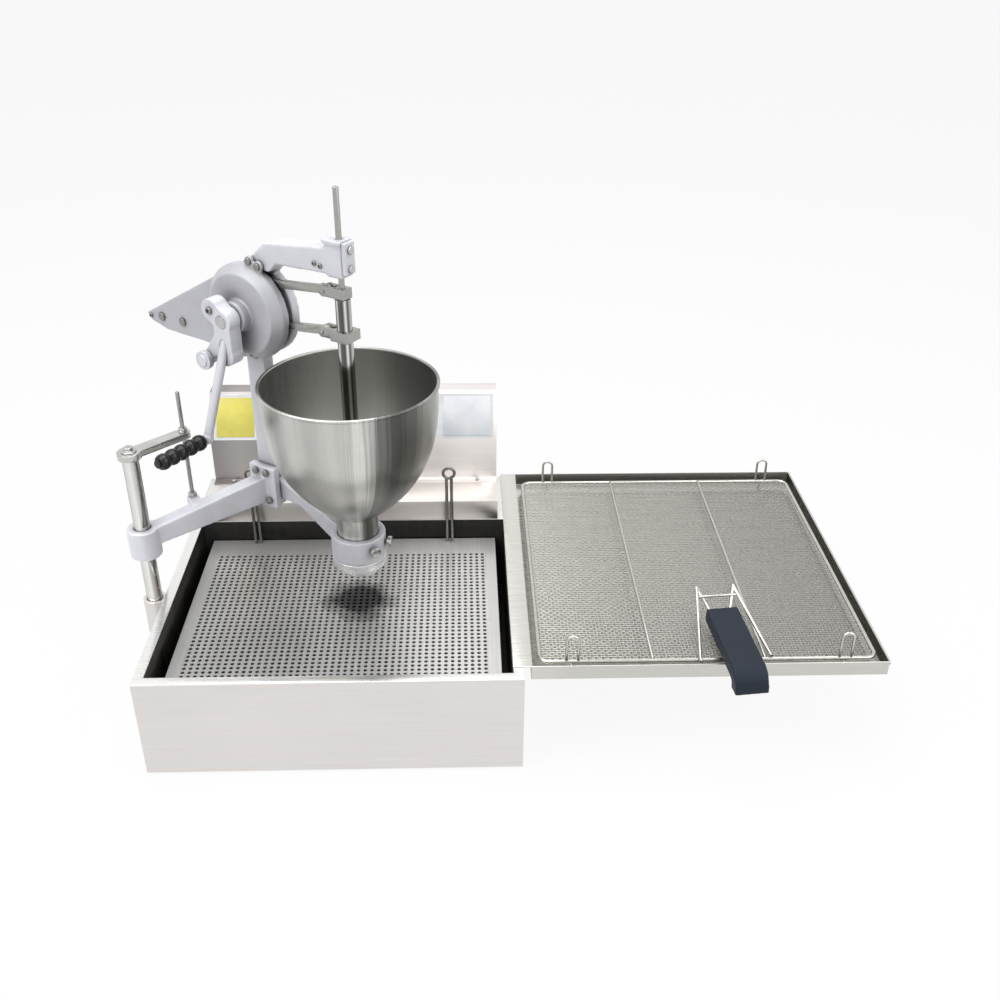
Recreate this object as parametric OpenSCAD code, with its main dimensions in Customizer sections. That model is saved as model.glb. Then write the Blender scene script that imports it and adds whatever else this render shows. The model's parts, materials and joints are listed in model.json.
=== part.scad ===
// Counter-top donut fryer with a hand-cranked batter depositor and a draining tray.
// Millimetres. Origin: centre of the fryer's footprint on the table. +X right, +Y back, +Z up.

/* [Fryer casing] */
// Width of the casing
casing_w = 520; // [480:5:600]
// Depth of the deck behind the oil tank
deck_d = 145.5; // [130:0.5:180]
// Height of the casing above its feet
casing_h = 155; // [145:1:190]
// Thickness of the casing sheet
sheet_t = 1.5; // [1:0.1:2.5]
// Thickness of the flat rim on the casing
rim_t = 2; // [1.5:0.1:4]
// Width of the rim round the oil tank
rim_w = 14.5; // [10:0.5:25]
// Height of the rubber feet
foot_h = 4; // [3:0.5:10]
// Diameter of the rubber feet
foot_d = 26; // [16:1:36]
// Distance of a foot's centre from the casing's edges
foot_inset = 45; // [30:1:70]

/* [Oil tank and heating] */
// Front to back size of the tank inside
tank_d = 400; // [360:2:460]
// Depth of the tank below the rim
tank_depth = 130; // [120:1:140]
// Thickness of the tank wall
tank_wall = 1.5; // [1:0.1:2.5]
// Diameter of the tubular heating element
element_d = 8; // [6:0.5:12]
// Height of the element's axis over the tank floor
element_lift = 30; // [20:1:40]
// Distance between neighbouring hairpins of the element
element_pitch = 150; // [120:2:160]
// Half the distance between the two legs of a hairpin
element_half = 35; // [20:1:45]
// Diameter of the thermostat bulb
bulb_d = 9; // [6:0.5:12]
// Length of the thermostat bulb in the oil
bulb_len = 110; // [80:5:150]
// Outer diameter of the sealing glands in the tank wall
gland_d = 20; // [16:1:26]
// Thickness of a sealing gland's collar
gland_t = 5; // [3:0.5:8]

/* [Perforated plate] */
// Depth of the plate's top below the rim
plate_drop = 35; // [30:1:50]
// Thickness of the plate
plate_t = 2; // [1.5:0.5:4]
// Gap between the plate and the tank's side and front walls
plate_gap = 14; // [8:0.5:18]
// Gap between the plate and the tank's back wall
plate_back = 3.5; // [2:0.5:8]
// Diameter of the drawn holes
hole_d = 10; // [6:0.5:14]
// Number of hole columns
hole_cols = 20; // [8:1:22]
// Number of hole rows
hole_rows = 15; // [6:1:16]
// Plain margin at the sides and the front of the holes
hole_margin = 18; // [12:1:30]
// Plain margin at the back of the plate
hole_back = 46; // [40:1:70]
// Width of the plate's strip legs
leg_w = 20; // [12:1:30]
// Distance of the lifting loops from the plate's middle
loop_x = 157; // [100:1:170]
// Height of the lifting loops over the plate
loop_h = 139; // [110:1:160]
// Wire diameter of the lifting loops
loop_wire = 5; // [3:0.5:6]
// Diameter of the eye at a loop's top, at the wire's middle
loop_eye = 18; // [14:0.5:22]
// Distance between a loop's two legs
loop_gap = 8; // [7:0.5:12]

/* [Control box] */
// Width of the rear deck and of the control box
deck_w = 472; // [420:2:476]
// Height of the rear deck over the rim
deck_h = 34; // [25:1:45]
// Depth of the open ledge in front of the control box
deck_ledge = 79; // [60:1:90]
// Height of the upright lower panel
low_panel_h = 69; // [50:1:90]
// Height of the sloped upper panel
top_panel_h = 76; // [60:1:100]
// How far the sloped panel leans back
top_panel_run = 37; // [20:1:45]
// Depth of the flange that holds the control box down
flange_d = 16; // [12:1:25]
// Thickness of the overlay and of the bare plates
overlay_t = 0.8; // [0.5:0.1:1.5]
// Diameter of the thermostat knob
knob_d = 42; // [30:1:50]
// Height of the thermostat knob
knob_h = 20; // [14:1:28]
// Sideways place of the thermostat knob
knob_x = 30; // [-20:1:80]
// Diameter of the thermostat's spindle
spindle_d = 6; // [5:0.5:8]
// Diameter of a pilot lamp
lamp_d = 14; // [10:1:20]
// Sideways place of the first pilot lamp
lamp_x = -40; // [-100:1:-30]
// Distance between the pilot lamps
lamp_pitch = 40; // [25:1:60]

/* [Post and arm] */
// Diameter of the post
post_d = 23; // [18:0.5:28]
// Distance of the post's axis from the casing's left wall
post_out = 28; // [24:1:32]
// Distance of the post's axis from the casing's front
post_back = 243; // [220:1:265]
// Height of the post under the top bar
post_top_z = 368; // [350:1:375]
// Lower end of the post's socket
socket_z = 70; // [40:1:80]
// Height of the post's socket
socket_h = 60; // [50:1:80]
// Wall of the post's socket
socket_wall = 5.5; // [4:0.5:8]
// Thickness of the top bar
bar_t = 10; // [8:1:14]
// Width of the top bar
bar_w = 20; // [16:1:22]
// Distance from the post to the lift rod
bar_reach = 88.4; // [84:0.1:92]
// Direction of the top bar, from straight right
bar_yaw = 45.5; // [43:0.5:48]
// Diameter of the lift rod
lift_d = 6; // [5:0.5:8]
// Free height of the lift rod over the top bar
lift_over = 62; // [45:1:64]
// Lower end of the arm's collar
collar_z = 208; // [204:1:214]
// Height of the arm's collar
collar_h = 46; // [42:1:60]
// Wall of the arm's collar
collar_wall = 11.5; // [8:0.5:14]
// Height of the arm's underside over the collar's foot
arm_low = 14; // [8:1:16]
// Width of the arm
arm_w = 24; // [18:1:30]
// Height of the arm at the collar
arm_h0 = 28; // [24:1:32]
// Height of the arm at the casting
arm_h1 = 42; // [34:1:46]
// Rise of the arm's underside from the collar to the casting
arm_rise = 28; // [20:1:32]
// Thickness of the arm's end flange
arm_flange_t = 12; // [8:1:16]

/* [Depositor casting] */
// Sideways place of the hopper's axis
hopper_x = 25; // [15:1:35]
// Front to back place of the hopper's axis
hopper_y = -36; // [-45:1:-30]
// Turn of the depositor, seen from above
depositor_yaw = 34; // [32:1:36]
// Distance of the cam housing's centre from the hopper's axis
drum_x = 162; // [158:1:168]
// Height of the cam housing's centre
drum_z = 554; // [550:1:558]
// Radius of the cam housing
drum_r = 69; // [68:1:72]
// Wall of the cam housing
drum_wall = 6; // [4:0.5:6]
// Half the gap between the housing's halves
slot_h = 5; // [4.5:0.1:7]
// Thickness of the housing's rear half
rear_t = 15; // [10:1:20]
// Thickness of the housing's front half
front_t = 25; // [18:1:30]
// Depth of the bevel on the front half
bevel_d = 14; // [8:1:16]
// Radius lost over the bevel
bevel_r = 12; // [6:1:16]
// Distance of the fin's tip from the cam housing's centre
fin_reach = 208; // [204:1:220]
// Thickness of the fin's front half
fin_t = 9; // [6:1:14]
// Height of the guide head's underside
head_z = 630; // [628:1:640]
// Height of the guide head
head_h = 50; // [46:1:64]
// Width of the guide head
head_w = 26; // [25:1:40]
// Depth of the guide head
head_d = 24; // [20:1:36]
// Height of the upper arm of the casting
gib_h = 35; // [28:1:38]
// Width of the upright strut
strut_w = 34; // [28:1:40]
// Depth of the upright strut
strut_d = 20; // [16:1:28]
// Height of the strut's foot
strut_z = 240; // [236:1:244]

/* [Crank] */
// Diameter of the crank shaft
shaft_d = 18; // [14:1:20]
// Length of the hub boss on the front half
hub_len = 14; // [10:1:20]
// Outer diameter of the hub boss
hub_d = 44; // [34:1:52]
// Thickness of the crank's clamp
clamp_t = 22; // [18:1:24]
// Radius of the clamp round the shaft
clamp_r = 17; // [15:0.5:20]
// Length of the clamp below the shaft
clamp_len = 48; // [44:1:60]
// Reach of the crank from the shaft to the grip
crank_reach = 160; // [150:1:170]
// Angle of the hanging crank from straight down
crank_lean = 3; // [0:0.5:6]
// How far the crank's rod leans out of the clamp's plane
crank_out = 53; // [52:1:60]
// Diameter of the crank's rod
crank_d = 13; // [10:0.5:13]
// Diameter of the grip's pin
grip_pin_d = 8; // [6:0.5:10]
// Diameter of a bead of the grip
bead_d = 23; // [18:0.5:23]
// Number of beads on the grip
beads = 5; // [3:1:7]
// Distance between two beads
bead_pitch = 16.4; // [14:0.1:20]
// Diameter of the dose knob
dose_d = 27; // [20:1:32]
// Thickness of the dose knob
dose_t = 9; // [6:1:14]

/* [Plunger] */
// Diameter of the inner rod
rod_d = 8; // [6:0.5:10]
// Height of the inner rod's top
rod_top_z = 746; // [725:1:760]
// Downward stroke of the inner rod
rod_stroke = 24; // [10:1:24]
// Downward stroke of the outer tube
tube_stroke = 30; // [15:1:30]
// Outer diameter of the outer tube
tube_d = 21; // [16:0.5:24]
// Height of the upper clevis pin
upper_pin_z = 608; // [604:1:610]
// Height of the lower clevis pin
lower_pin_z = 550; // [546:1:553]
// Diameter of the clevis and lever pins
pin_d = 6; // [5:0.5:8]
// Thickness of a lever
lever_t = 8; // [6:0.5:8.5]
// Height of a lever's bar
lever_h = 11; // [10:0.5:12]
// Thickness of the piston
piston_t = 12; // [8:1:16]
// Height of the piston's underside
piston_z = 264; // [260:1:270]
// Thickness of the forming disc
disc_t = 6; // [4:0.5:8]

/* [Hopper and nozzle] */
// Radius of the hopper's rim
hopper_r = 123; // [110:1:125]
// Height of the hopper's rim
hopper_top_z = 480; // [465:1:482]
// Height where the bowl meets the neck
neck_top_z = 275; // [270:1:285]
// Outer radius of the neck
neck_r = 30; // [28:0.5:33]
// Fullness of the bowl: 2 is lean, 4 is full
bowl_full = 3; // [2:0.1:4]
// Wall of the hopper
hopper_wall = 1.5; // [1:0.1:2.5]
// Diameter of the rolled bead on the rim
bead_rim_d = 5; // [4:0.5:7]
// Lower face of the cast ring
ring_z = 206; // [203:1:212]
// Height of the cast ring
ring_h = 38; // [30:1:44]
// Wall of the cast ring
ring_wall = 10; // [7:0.5:13]
// Height of the nozzle's lower end
nozzle_z = 180; // [176:1:186]
// Radius of the nozzle's bore
nozzle_bore_r = 25; // [22:0.5:25]
// Radius of the nozzle's flange
nozzle_flange_r = 40; // [34:0.5:42]
// Thickness of the nozzle's flange
nozzle_flange_t = 14; // [8:1:16]

/* [Tray and rack] */
// Width of the draining tray
tray_w = 488; // [430:2:520]
// Depth of the draining tray
tray_d = 540; // [520:2:580]
// Height of the tray's walls
tray_h = 22; // [18:1:30]
// Thickness of the tray's sheet
tray_t = 1.5; // [1:0.1:2.5]
// Gap between the tray and the casing
tray_gap = 10; // [6:1:16]
// How far the tray's flange lies over the rim
tray_lap = 15; // [10:0.5:15]
// Gap between the rack's frame and the tray's left wall
rack_gap = 8; // [6:1:16]
// Gap between the rack's frame and the tray's front wall
rack_front = 12; // [10:1:40]
// Gap between the rack's frame and the tray's back wall
rack_back = 20; // [10:1:40]
// Diameter of the rack's frame wire
frame_wire = 6; // [5:0.5:8]
// Corner radius of the rack's frame
frame_corner = 14; // [10:1:24]
// Height of the rack's feet under the wire
rack_foot_h = 12; // [8:1:16]
// Number of drawn mesh gaps across
mesh_cols = 15; // [8:1:16]
// Number of drawn mesh gaps front to back
mesh_rows = 16; // [8:1:17]
// Width of a drawn mesh strand
mesh_wire = 2.4; // [1.5:0.1:3]
// Thickness of the mesh
mesh_t = 1.6; // [1:0.1:2.4]
// Height of the rack's upright loops
stand_h = 42; // [30:1:60]
// Width of the rack's upright loops
stand_w = 16; // [12:1:24]
// Sideways place of the handle on the rack, from its left wire
handle_at = 267; // [200:1:300]
// Width of the handle's grip
grip_w = 46; // [36:1:46]
// Thickness of the handle's grip
grip_t = 20; // [16:0.5:21]

/* [Hidden] */
$fn = 64;

// Clearances: running fits turn or slide, slip fits stay put, free gaps never touch
run_c = 0.08;
slip_c = 0.1;
free_c = 0.4;
eps = 0.5;
// Bends and ends of bars are this much wider than the bar
bend_swell = 1.06;

// Fryer levels and edges
rim_z = foot_h + casing_h;
casing_d = rim_w + tank_d + deck_d;
x_right = casing_w / 2;
y_front = -casing_d / 2;
y_back = casing_d / 2;
tank_w = casing_w - 2 * rim_w;
tank_y0 = y_front + rim_w;
tank_y1 = tank_y0 + tank_d;
tank_floor_z = rim_z - tank_depth;
tank_rim_z = rim_z - rim_t;
element_z = tank_floor_z + element_lift;
element_y0 = tank_y0 + element_half + 2 * gland_d;
element_y1 = tank_y1 + tank_wall + 3 * gland_t;
bulb_x = element_pitch / 2;
bulb_z = element_z + gland_d + 2;
gland_bore = element_d + 2 * slip_c;
hairpins = [-1, 0, 1];

// Perforated plate
plate_z = rim_z - plate_drop;
plate_w = tank_w - 2 * plate_gap;
plate_d = tank_d - plate_gap - plate_back;
plate_y0 = tank_y0 + plate_gap;
plate_y1 = plate_y0 + plate_d;
hole_px = (plate_w - 2 * hole_margin - hole_d) / (hole_cols - 1);
hole_py = (plate_d - hole_margin - hole_back - hole_d) / (hole_rows - 1);
loop_y = plate_y1 - 1.6 * loop_wire;
leg_x = plate_w / 2 - 1.5 * leg_w;

// Control box
deck_z = rim_z + deck_h;
box_y = tank_y1 + deck_ledge;
panel_z0 = deck_z + low_panel_h;
panel_z1 = panel_z0 + top_panel_h;
panel_y1 = box_y + top_panel_run;
panel_tilt = atan2(top_panel_h, top_panel_run);
panel_len = norm([top_panel_h, top_panel_run]);
cover_y = y_back - sheet_t;
overlay_margin = 5;
plate_len = panel_len - 4 * overlay_margin;
yellow_w = 62;
pale_w = 78;
lamp_h = 5;
screw_d = 7;
screw_h = 3;
cable_d = 16;
wire_hole_d = 40;
vent_w = 4;
vent_len = 40;
vent_pitch = 12;
vents = [-4:4];

// Post, top bar and lift rod
post_x = -casing_w / 2 - post_out;
post_y = y_front + post_back;
socket_r = post_d / 2 + socket_wall;
socket_floor = 6;
socket_web = 20;
spigot_d = post_d * 0.6;
bar_top_z = post_top_z + bar_t;
bar_wall = 5.5;
lift_x = post_x + bar_reach * cos(bar_yaw);
lift_y = post_y + bar_reach * sin(bar_yaw);
lift_nut_d = 2.2 * lift_d;
lift_nut_h = lift_d;
lug_d = 3 * lift_d;
lug_h = 12;

// Depositor frame: local x from the hopper's axis towards the right, local -y towards the crank
strut_off = 5;
strut_x = -drum_x - strut_off - strut_w / 2;
strut_mid = strut_x + strut_w / 2;
elbow_x = hopper_x + strut_mid * cos(depositor_yaw) - slot_h * sin(depositor_yaw);
elbow_y = hopper_y - strut_mid * sin(depositor_yaw) - slot_h * cos(depositor_yaw);
arm_dx = elbow_x - post_x;
arm_dy = elbow_y - post_y;
arm_yaw = atan2(arm_dy, arm_dx);
arm_len = norm([arm_dx, arm_dy]);
arm_z0 = collar_z + arm_low;
arm_end_z = arm_z0 + arm_rise;
flange_lip = 8;
flange_top = 18;
flange_h = arm_h1 + flange_lip + flange_top;
arm_reach = arm_len - arm_flange_t * 0.7;
lug_along = bar_reach * cos(bar_yaw - arm_yaw);
lug_side = bar_reach * sin(bar_yaw - arm_yaw);
lug_rise = (arm_rise + arm_h1 - arm_h0) * lug_along / arm_reach;
lug_proud = 1;
lug_z = arm_z0 + arm_h0 + lug_rise + lug_proud - lug_h;
collar_r = post_d / 2 + collar_wall;
bolt_d = 6;
bolt_head_d = 10;
bolt_head_h = 5;
bolt_grip = 10;
bolt_side = strut_w / 2 - bolt_head_d / 2 + 0.5;
arm_bolt_places = [
    [-bolt_head_d, arm_end_z + arm_h1 + flange_top / 2],
    [bolt_head_d, arm_end_z + arm_h1 + flange_top / 2],
    [bolt_side, arm_end_z + bolt_head_d / 2]
];

// Cam housing outline in local x and z
front_y = -slot_h - front_t;
hub_y = front_y - hub_len;
fin_x = -drum_x - fin_reach;
fin = [
    [fin_x, drum_z - 43],
    [fin_x + 8, drum_z - 54],
    [fin_x + 40, drum_z - drum_r + 6],
    [-drum_x - 15, drum_z - drum_r + 2],
    [-drum_x, drum_z],
    [-drum_x - 3, drum_z + drum_r + 1]
];
upper_pivot = [fin_x + 32, drum_z - 43.5];
lower_pivot = [fin_x + 75, drum_z - 43];
pivot_d = 8;
head_over = 4;
head_x0 = -head_w * 0.58;
head_x1 = head_x0 + head_w;
gib_z = head_z + 4;
gib_knee = [-drum_x + 40, gib_z + gib_h - 12];
gib_low = [-drum_x + 59, gib_z - 4];
gib_front = 7;
head_lip = 6;
cap_t = 6;
guide_grip = 5;
screw_lug_d = 10;
tab_d = 14;
tab_t = 6;
tab_r = drum_r + 8;
tab_turns = [66, 78];
rim_screw_r = drum_r - drum_wall;
rim_screw_turns = [262, 280];
guide_bolt_zs = [head_z + head_h * 0.25, head_z + head_h * 0.75];

// Levers: end places, slots and cam followers
upper_pin = [-26, upper_pin_z];
lower_pin = [-32, lower_pin_z];
function slot_for(pivot, pin, stroke) =
    stroke * (pin[1] - pivot[1] - stroke / 2) / (pin[0] - pivot[0]);
function lift_at_cam(pivot, pin, stroke) = stroke * (-drum_x - pivot[0]) / (pin[0] - pivot[0]);
upper_slot = slot_for(upper_pivot, upper_pin, rod_stroke);
lower_slot = slot_for(lower_pivot, lower_pin, tube_stroke);
lever_eye = 13;
follower_d = 8;
upper_cam_max = 36;
upper_bar_over = 16;
upper_cam_min = upper_cam_max - lift_at_cam(upper_pivot, upper_pin, rod_stroke);
lower_cam_min = 20;
lower_cam_max = lower_cam_min + lift_at_cam(lower_pivot, lower_pin, tube_stroke);
cam_t = lever_t / 2 - 0.3;
upper_bar_z = drum_z + upper_cam_max + upper_bar_over;
cam_clear = 1;
lower_bar_z = drum_z - upper_cam_min - cam_clear - lever_h / 2;
upper_follower_z = drum_z + upper_cam_max + follower_d / 2 + free_c;
lower_follower_z = drum_z - lower_cam_min - follower_d / 2 - free_c;
upper_bend_x = 118;
upper_knee_x = 50;
upper_knee_z = 28;
upper_out_x = 54;
lower_flat_x = 30;
lower_out_x = 64;
lever_drop = 8;
upper_path = [
    upper_pivot,
    [-drum_x - upper_bend_x, drum_z - lever_h],
    [-drum_x - upper_knee_x, drum_z + upper_knee_z],
    [-drum_x, upper_bar_z],
    [-drum_x + upper_out_x, upper_pin_z - lever_drop],
    upper_pin
];
lower_path = [
    lower_pivot,
    [-drum_x, lower_bar_z],
    [-drum_x + lower_flat_x, lower_bar_z],
    [-drum_x + lower_out_x, lower_pin_z - lever_drop],
    lower_pin
];

// Crank
clamp_y1 = hub_y - free_c;
clamp_y0 = clamp_y1 - clamp_t;
crank_y = (clamp_y0 + clamp_y1) / 2;
crank_top = [0, crank_y, -shaft_d / 2 - crank_d / 2];
crank_tip = [-crank_reach * sin(crank_lean), crank_y - crank_out, -crank_reach * cos(crank_lean)];
crank_knob_d = crank_d + head_over;
clamp_ear = [-18, 14];
grip_y1 = crank_tip[1] - crank_knob_d / 2 - free_c;
grip_len = beads * bead_pitch;
grip_y0 = grip_y1 - grip_len - free_c;
dose_root = [-4, -20];
dose_x = -34;
dose_z = -60;

// Plunger
clevis_w = 18;
clevis_h = 14;
cheek_t = 4;
cheek_y = lever_t / 2 + 1;
cheek_wall = 3;
lower_clevis_w = tube_d + 2 * head_over;
tube_top_z = upper_pin_z - clevis_h / 2 - 1;
piston_r = nozzle_bore_r - free_c;
guide_z = head_z + head_h;

// Hopper, ring and nozzle
neck_bore_r = neck_r - hopper_wall;
ring_r = neck_r + slip_c + ring_wall;
ring_top_z = ring_z + ring_h;
shoulder_t = 3;
web_up = 16;
web_h = 34;
web_knee = 108;
web_in = 34;
web_top = 66;
nozzle_r = neck_bore_r - slip_c;
nozzle_top_z = ring_top_z + 1;
bowl_steps = 18;
bowl_h = hopper_top_z - neck_top_z;
thumb_d = 16;
thumb_t = 6;
thumb_pin = 6;
thumb_turns = [-20, 25];

// Tray, rack and handle
tray_x0 = x_right + tray_gap;
tray_x1 = tray_x0 + tray_w;
tray_set_back = 25;
tray_y0 = y_front + tray_set_back;
tray_y1 = tray_y0 + tray_d;
tray_top_z = rim_z + tray_t;
tray_z = tray_top_z - tray_h;
tray_floor_z = tray_z + tray_t;
hem_w = 6;
bracket_t = 4;
bracket_w = 30;
bracket_reach = 220;
bracket_drop = 70;
bracket_inset = 150;
bracket_ys = [tray_y0 + bracket_inset, tray_y1 - bracket_inset];
rack_x0 = tray_x0 + tray_t + rack_gap + frame_wire / 2;
rack_x1 = tray_x1 - tray_t - rack_gap - frame_wire / 2;
rack_y0 = tray_y0 + tray_t + rack_front + frame_wire / 2;
rack_y1 = tray_y1 - tray_t - rack_back - frame_wire / 2;
rack_z = tray_floor_z + rack_foot_h + frame_wire / 2;
crossbar_d = 4;
stand_wire = 4;
stand_inset = 30;
mesh_x0 = rack_x0 + frame_wire / 2 + slip_c;
mesh_x1 = rack_x1 - frame_wire / 2 - slip_c;
mesh_y0 = rack_y0 + frame_wire / 2 + slip_c;
mesh_y1 = rack_y1 - frame_wire / 2 - slip_c;
mesh_z = rack_z - mesh_t;
mesh_gap_x = (mesh_x1 - mesh_x0 - mesh_wire) / mesh_cols - mesh_wire;
mesh_gap_y = (mesh_y1 - mesh_y0 - mesh_wire) / mesh_rows - mesh_wire;
handle_x = rack_x0 + handle_at;
handle_wire = 5;
handle_turn = 6;
grip_back = 70;
grip_rise = 12;
grip_over = 36;
grip_knee = 8;
handle_y1 = rack_y0 + grip_back;
handle_z = tray_top_z + grip_t + grip_rise;
grip_front_y = tray_y0 - grip_over;
grip_end_z = tray_z + 14;
stirrup_x = grip_w / 2 + handle_wire / 2 + 1.5;
stirrup_in = 14;
wire_hold = 16;
wire_out = 4;
apex_run = 37;
apex_rise = 10;
apex_y = handle_y1 + apex_run;
apex_z = handle_z + apex_rise;
brace_run = 14;
brace_drop = 6;
hook_len = 6;
foot_splay = 22;
rest_z = rack_z + (frame_wire + bend_swell * handle_wire) / 2 + free_c;

steel = [0.80, 0.79, 0.77];
dark = [0.13, 0.13, 0.13];
cast = [0.74, 0.74, 0.78];
bright = [0.86, 0.86, 0.87];

// Shape helpers

// Box from its lowest to its highest corner
module box(a, b) {
    translate(a) cube(b - a);
}

// Outline in x and z, drawn out from y0 to y1
module along_y(y0, y1) {
    translate([0, y1, 0]) rotate([90, 0, 0]) linear_extrude(height = y1 - y0) children();
}

// Outline in y and z, drawn out from x0 to x1
module along_x(x0, x1) {
    translate([x0, 0, 0]) rotate([90, 0, 90]) linear_extrude(height = x1 - x0) children();
}

// Round bar along y
module bar_y(x, z, d, y0, y1) {
    translate([x, y1, z]) rotate([90, 0, 0]) cylinder(d = d, h = y1 - y0);
}

// Round bar along x
module bar_x(y, z, d, x0, x1) {
    translate([x0, y, z]) rotate([0, 90, 0]) cylinder(d = d, h = x1 - x0);
}

// Round bar along z
module bar_z(x, y, d, z0, z1) {
    translate([x, y, z0]) cylinder(d = d, h = z1 - z0);
}

// Round wire between two points
module wire(p, q, d) {
    v = q - p;
    translate(p) rotate([0, acos(v[2] / norm(v)), atan2(v[1], v[0])]) cylinder(d = d, h = norm(v));
}

// Bent wire through points, round at each bend
module bent_wire(points, d) {
    for (i = [0 : len(points) - 2]) wire(points[i], points[i + 1], d);
    for (i = [1 : len(points) - 2]) translate(points[i]) sphere(d = bend_swell * d);
}

// Flat bar outline through points
module bar_outline(points, h) {
    for (i = [0 : len(points) - 2]) {
        p = points[i];
        v = points[i + 1] - p;
        translate(p) rotate(atan2(v[1], v[0])) translate([0, -h / 2]) square([norm(v), h]);
    }
    for (p = points) translate(p) circle(d = bend_swell * h);
}

// Outline moved inwards by d, for a convex outline that runs against the clock in x and z
function cross2(a, b) = a[0] * b[1] - a[1] * b[0];
function unit(v) = v / norm(v);
function edge_in(p, q, d) = p + d * unit([p[1] - q[1], q[0] - p[0]]);
function meet(p, u, q, v) = p + u * cross2(q - p, v) / cross2(u, v);
function moved_in(pts, d) = [
    for (i = [0 : len(pts) - 1])
        let (a = pts[(i + len(pts) - 1) % len(pts)], b = pts[i], c = pts[(i + 1) % len(pts)])
        meet(edge_in(a, b, d), b - a, edge_in(b, c, d), c - b)
];

// Places of the sub-assemblies
module at_depositor() {
    translate([hopper_x, hopper_y, 0]) rotate([0, 0, -depositor_yaw]) children();
}

module at_arm() {
    translate([post_x, post_y, 0]) rotate([0, 0, arm_yaw]) children();
}

module at_shaft() {
    at_depositor() translate([-drum_x, 0, drum_z]) children();
}

module on_panel() {
    translate([0, box_y, panel_z0]) rotate([panel_tilt, 0, 0]) children();
}

// Fryer

module casing_shell() {
    color(steel) difference() {
        box([-x_right, y_front, foot_h], [x_right, y_back, tank_rim_z]);
        box([-x_right + sheet_t, y_front + sheet_t, foot_h - eps],
            [x_right - sheet_t, y_back - sheet_t, tank_rim_z + eps]);
    }
}

module base_plate() {
    color(steel) box([-x_right + sheet_t, y_front + sheet_t, foot_h],
        [x_right - sheet_t, y_back - sheet_t, foot_h + sheet_t]);
}

module top_rim() {
    color(steel) difference() {
        box([-x_right, y_front, tank_rim_z], [x_right, y_back, rim_z]);
        box([-tank_w / 2, tank_y0, tank_rim_z - eps], [tank_w / 2, tank_y1, rim_z + eps]);
        bar_z(0, (tank_y1 + y_back) / 2, wire_hole_d, tank_rim_z - eps, rim_z + eps);
    }
}

module oil_tank() {
    color(dark) difference() {
        box([-tank_w / 2 - tank_wall, tank_y0 - tank_wall, tank_floor_z - tank_wall],
            [tank_w / 2 + tank_wall, tank_y1 + tank_wall, tank_rim_z]);
        box([-tank_w / 2, tank_y0, tank_floor_z], [tank_w / 2, tank_y1, tank_rim_z + eps]);
        for (i = hairpins, s = [-1, 1]) {
            bar_y(i * element_pitch + s * element_half, element_z, gland_bore,
                tank_y1 - eps, tank_y1 + tank_wall + eps);
        }
        bar_y(bulb_x, bulb_z, bulb_d + 2 * slip_c, tank_y1 - eps, tank_y1 + tank_wall + eps);
    }
}

module feet() {
    color(dark) for (sx = [-1, 1], sy = [-1, 1]) {
        bar_z(sx * (x_right - foot_inset), sy * (y_back - foot_inset), foot_d, 0, foot_h);
    }
}

module heater_elements() {
    color([0.35, 0.34, 0.33]) for (i = hairpins) {
        for (s = [-1, 1]) {
            bar_y(i * element_pitch + s * element_half, element_z, element_d, element_y0, element_y1);
        }
        translate([i * element_pitch, element_y0, element_z]) rotate([0, 0, 180])
            rotate_extrude(angle = 180) translate([element_half, 0]) circle(d = element_d);
    }
}

// Collar with its bore, on the outside of the tank's back wall
module gland(x, z, bore) {
    difference() {
        bar_y(x, z, gland_d, tank_y1 + tank_wall, tank_y1 + tank_wall + gland_t);
        bar_y(x, z, bore, tank_y1 + tank_wall - eps, tank_y1 + tank_wall + gland_t + eps);
    }
}

module heater_glands() {
    color([0.72, 0.58, 0.30]) {
        for (i = hairpins, s = [-1, 1]) gland(i * element_pitch + s * element_half, element_z, gland_bore);
        gland(bulb_x, bulb_z, bulb_d + 2 * slip_c);
    }
}

module thermostat_bulb() {
    color([0.70, 0.42, 0.28]) bar_y(bulb_x, bulb_z, bulb_d, tank_y1 - bulb_len, element_y1);
}

module perforated_plate() {
    color(steel) translate([0, 0, plate_z - plate_t]) linear_extrude(height = plate_t) difference() {
        translate([-plate_w / 2, plate_y0]) square([plate_w, plate_d]);
        for (i = [0 : hole_cols - 1], j = [0 : hole_rows - 1]) {
            translate([-plate_w / 2 + hole_margin + hole_d / 2 + i * hole_px,
                plate_y0 + hole_margin + hole_d / 2 + j * hole_py]) circle(d = hole_d, $fn = 24);
        }
    }
}

module plate_legs() {
    color(steel) for (sx = [-1, 1], y = [plate_y0 + leg_w, plate_y1 - leg_w]) {
        box([sx * leg_x - leg_w / 2, y - plate_t / 2, tank_floor_z],
            [sx * leg_x + leg_w / 2, y + plate_t / 2, plate_z - plate_t]);
        box([sx * leg_x - leg_w / 2, y - leg_w / 2, tank_floor_z],
            [sx * leg_x + leg_w / 2, y + leg_w / 2, tank_floor_z + plate_t]);
    }
}

module plate_loops() {
    eye_z = plate_z + loop_h - loop_eye / 2 - loop_wire / 2;
    leg_top = eye_z - sqrt(pow(loop_eye / 2, 2) - pow(loop_gap / 2, 2));
    color(bright) for (sx = [-1, 1]) {
        for (s = [-1, 1]) bar_z(sx * loop_x + s * loop_gap / 2, loop_y, loop_wire, plate_z, leg_top);
        translate([sx * loop_x, loop_y, eye_z]) rotate([90, 0, 0])
            rotate_extrude() translate([loop_eye / 2, 0]) circle(d = loop_wire);
    }
}

// Control box

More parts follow.
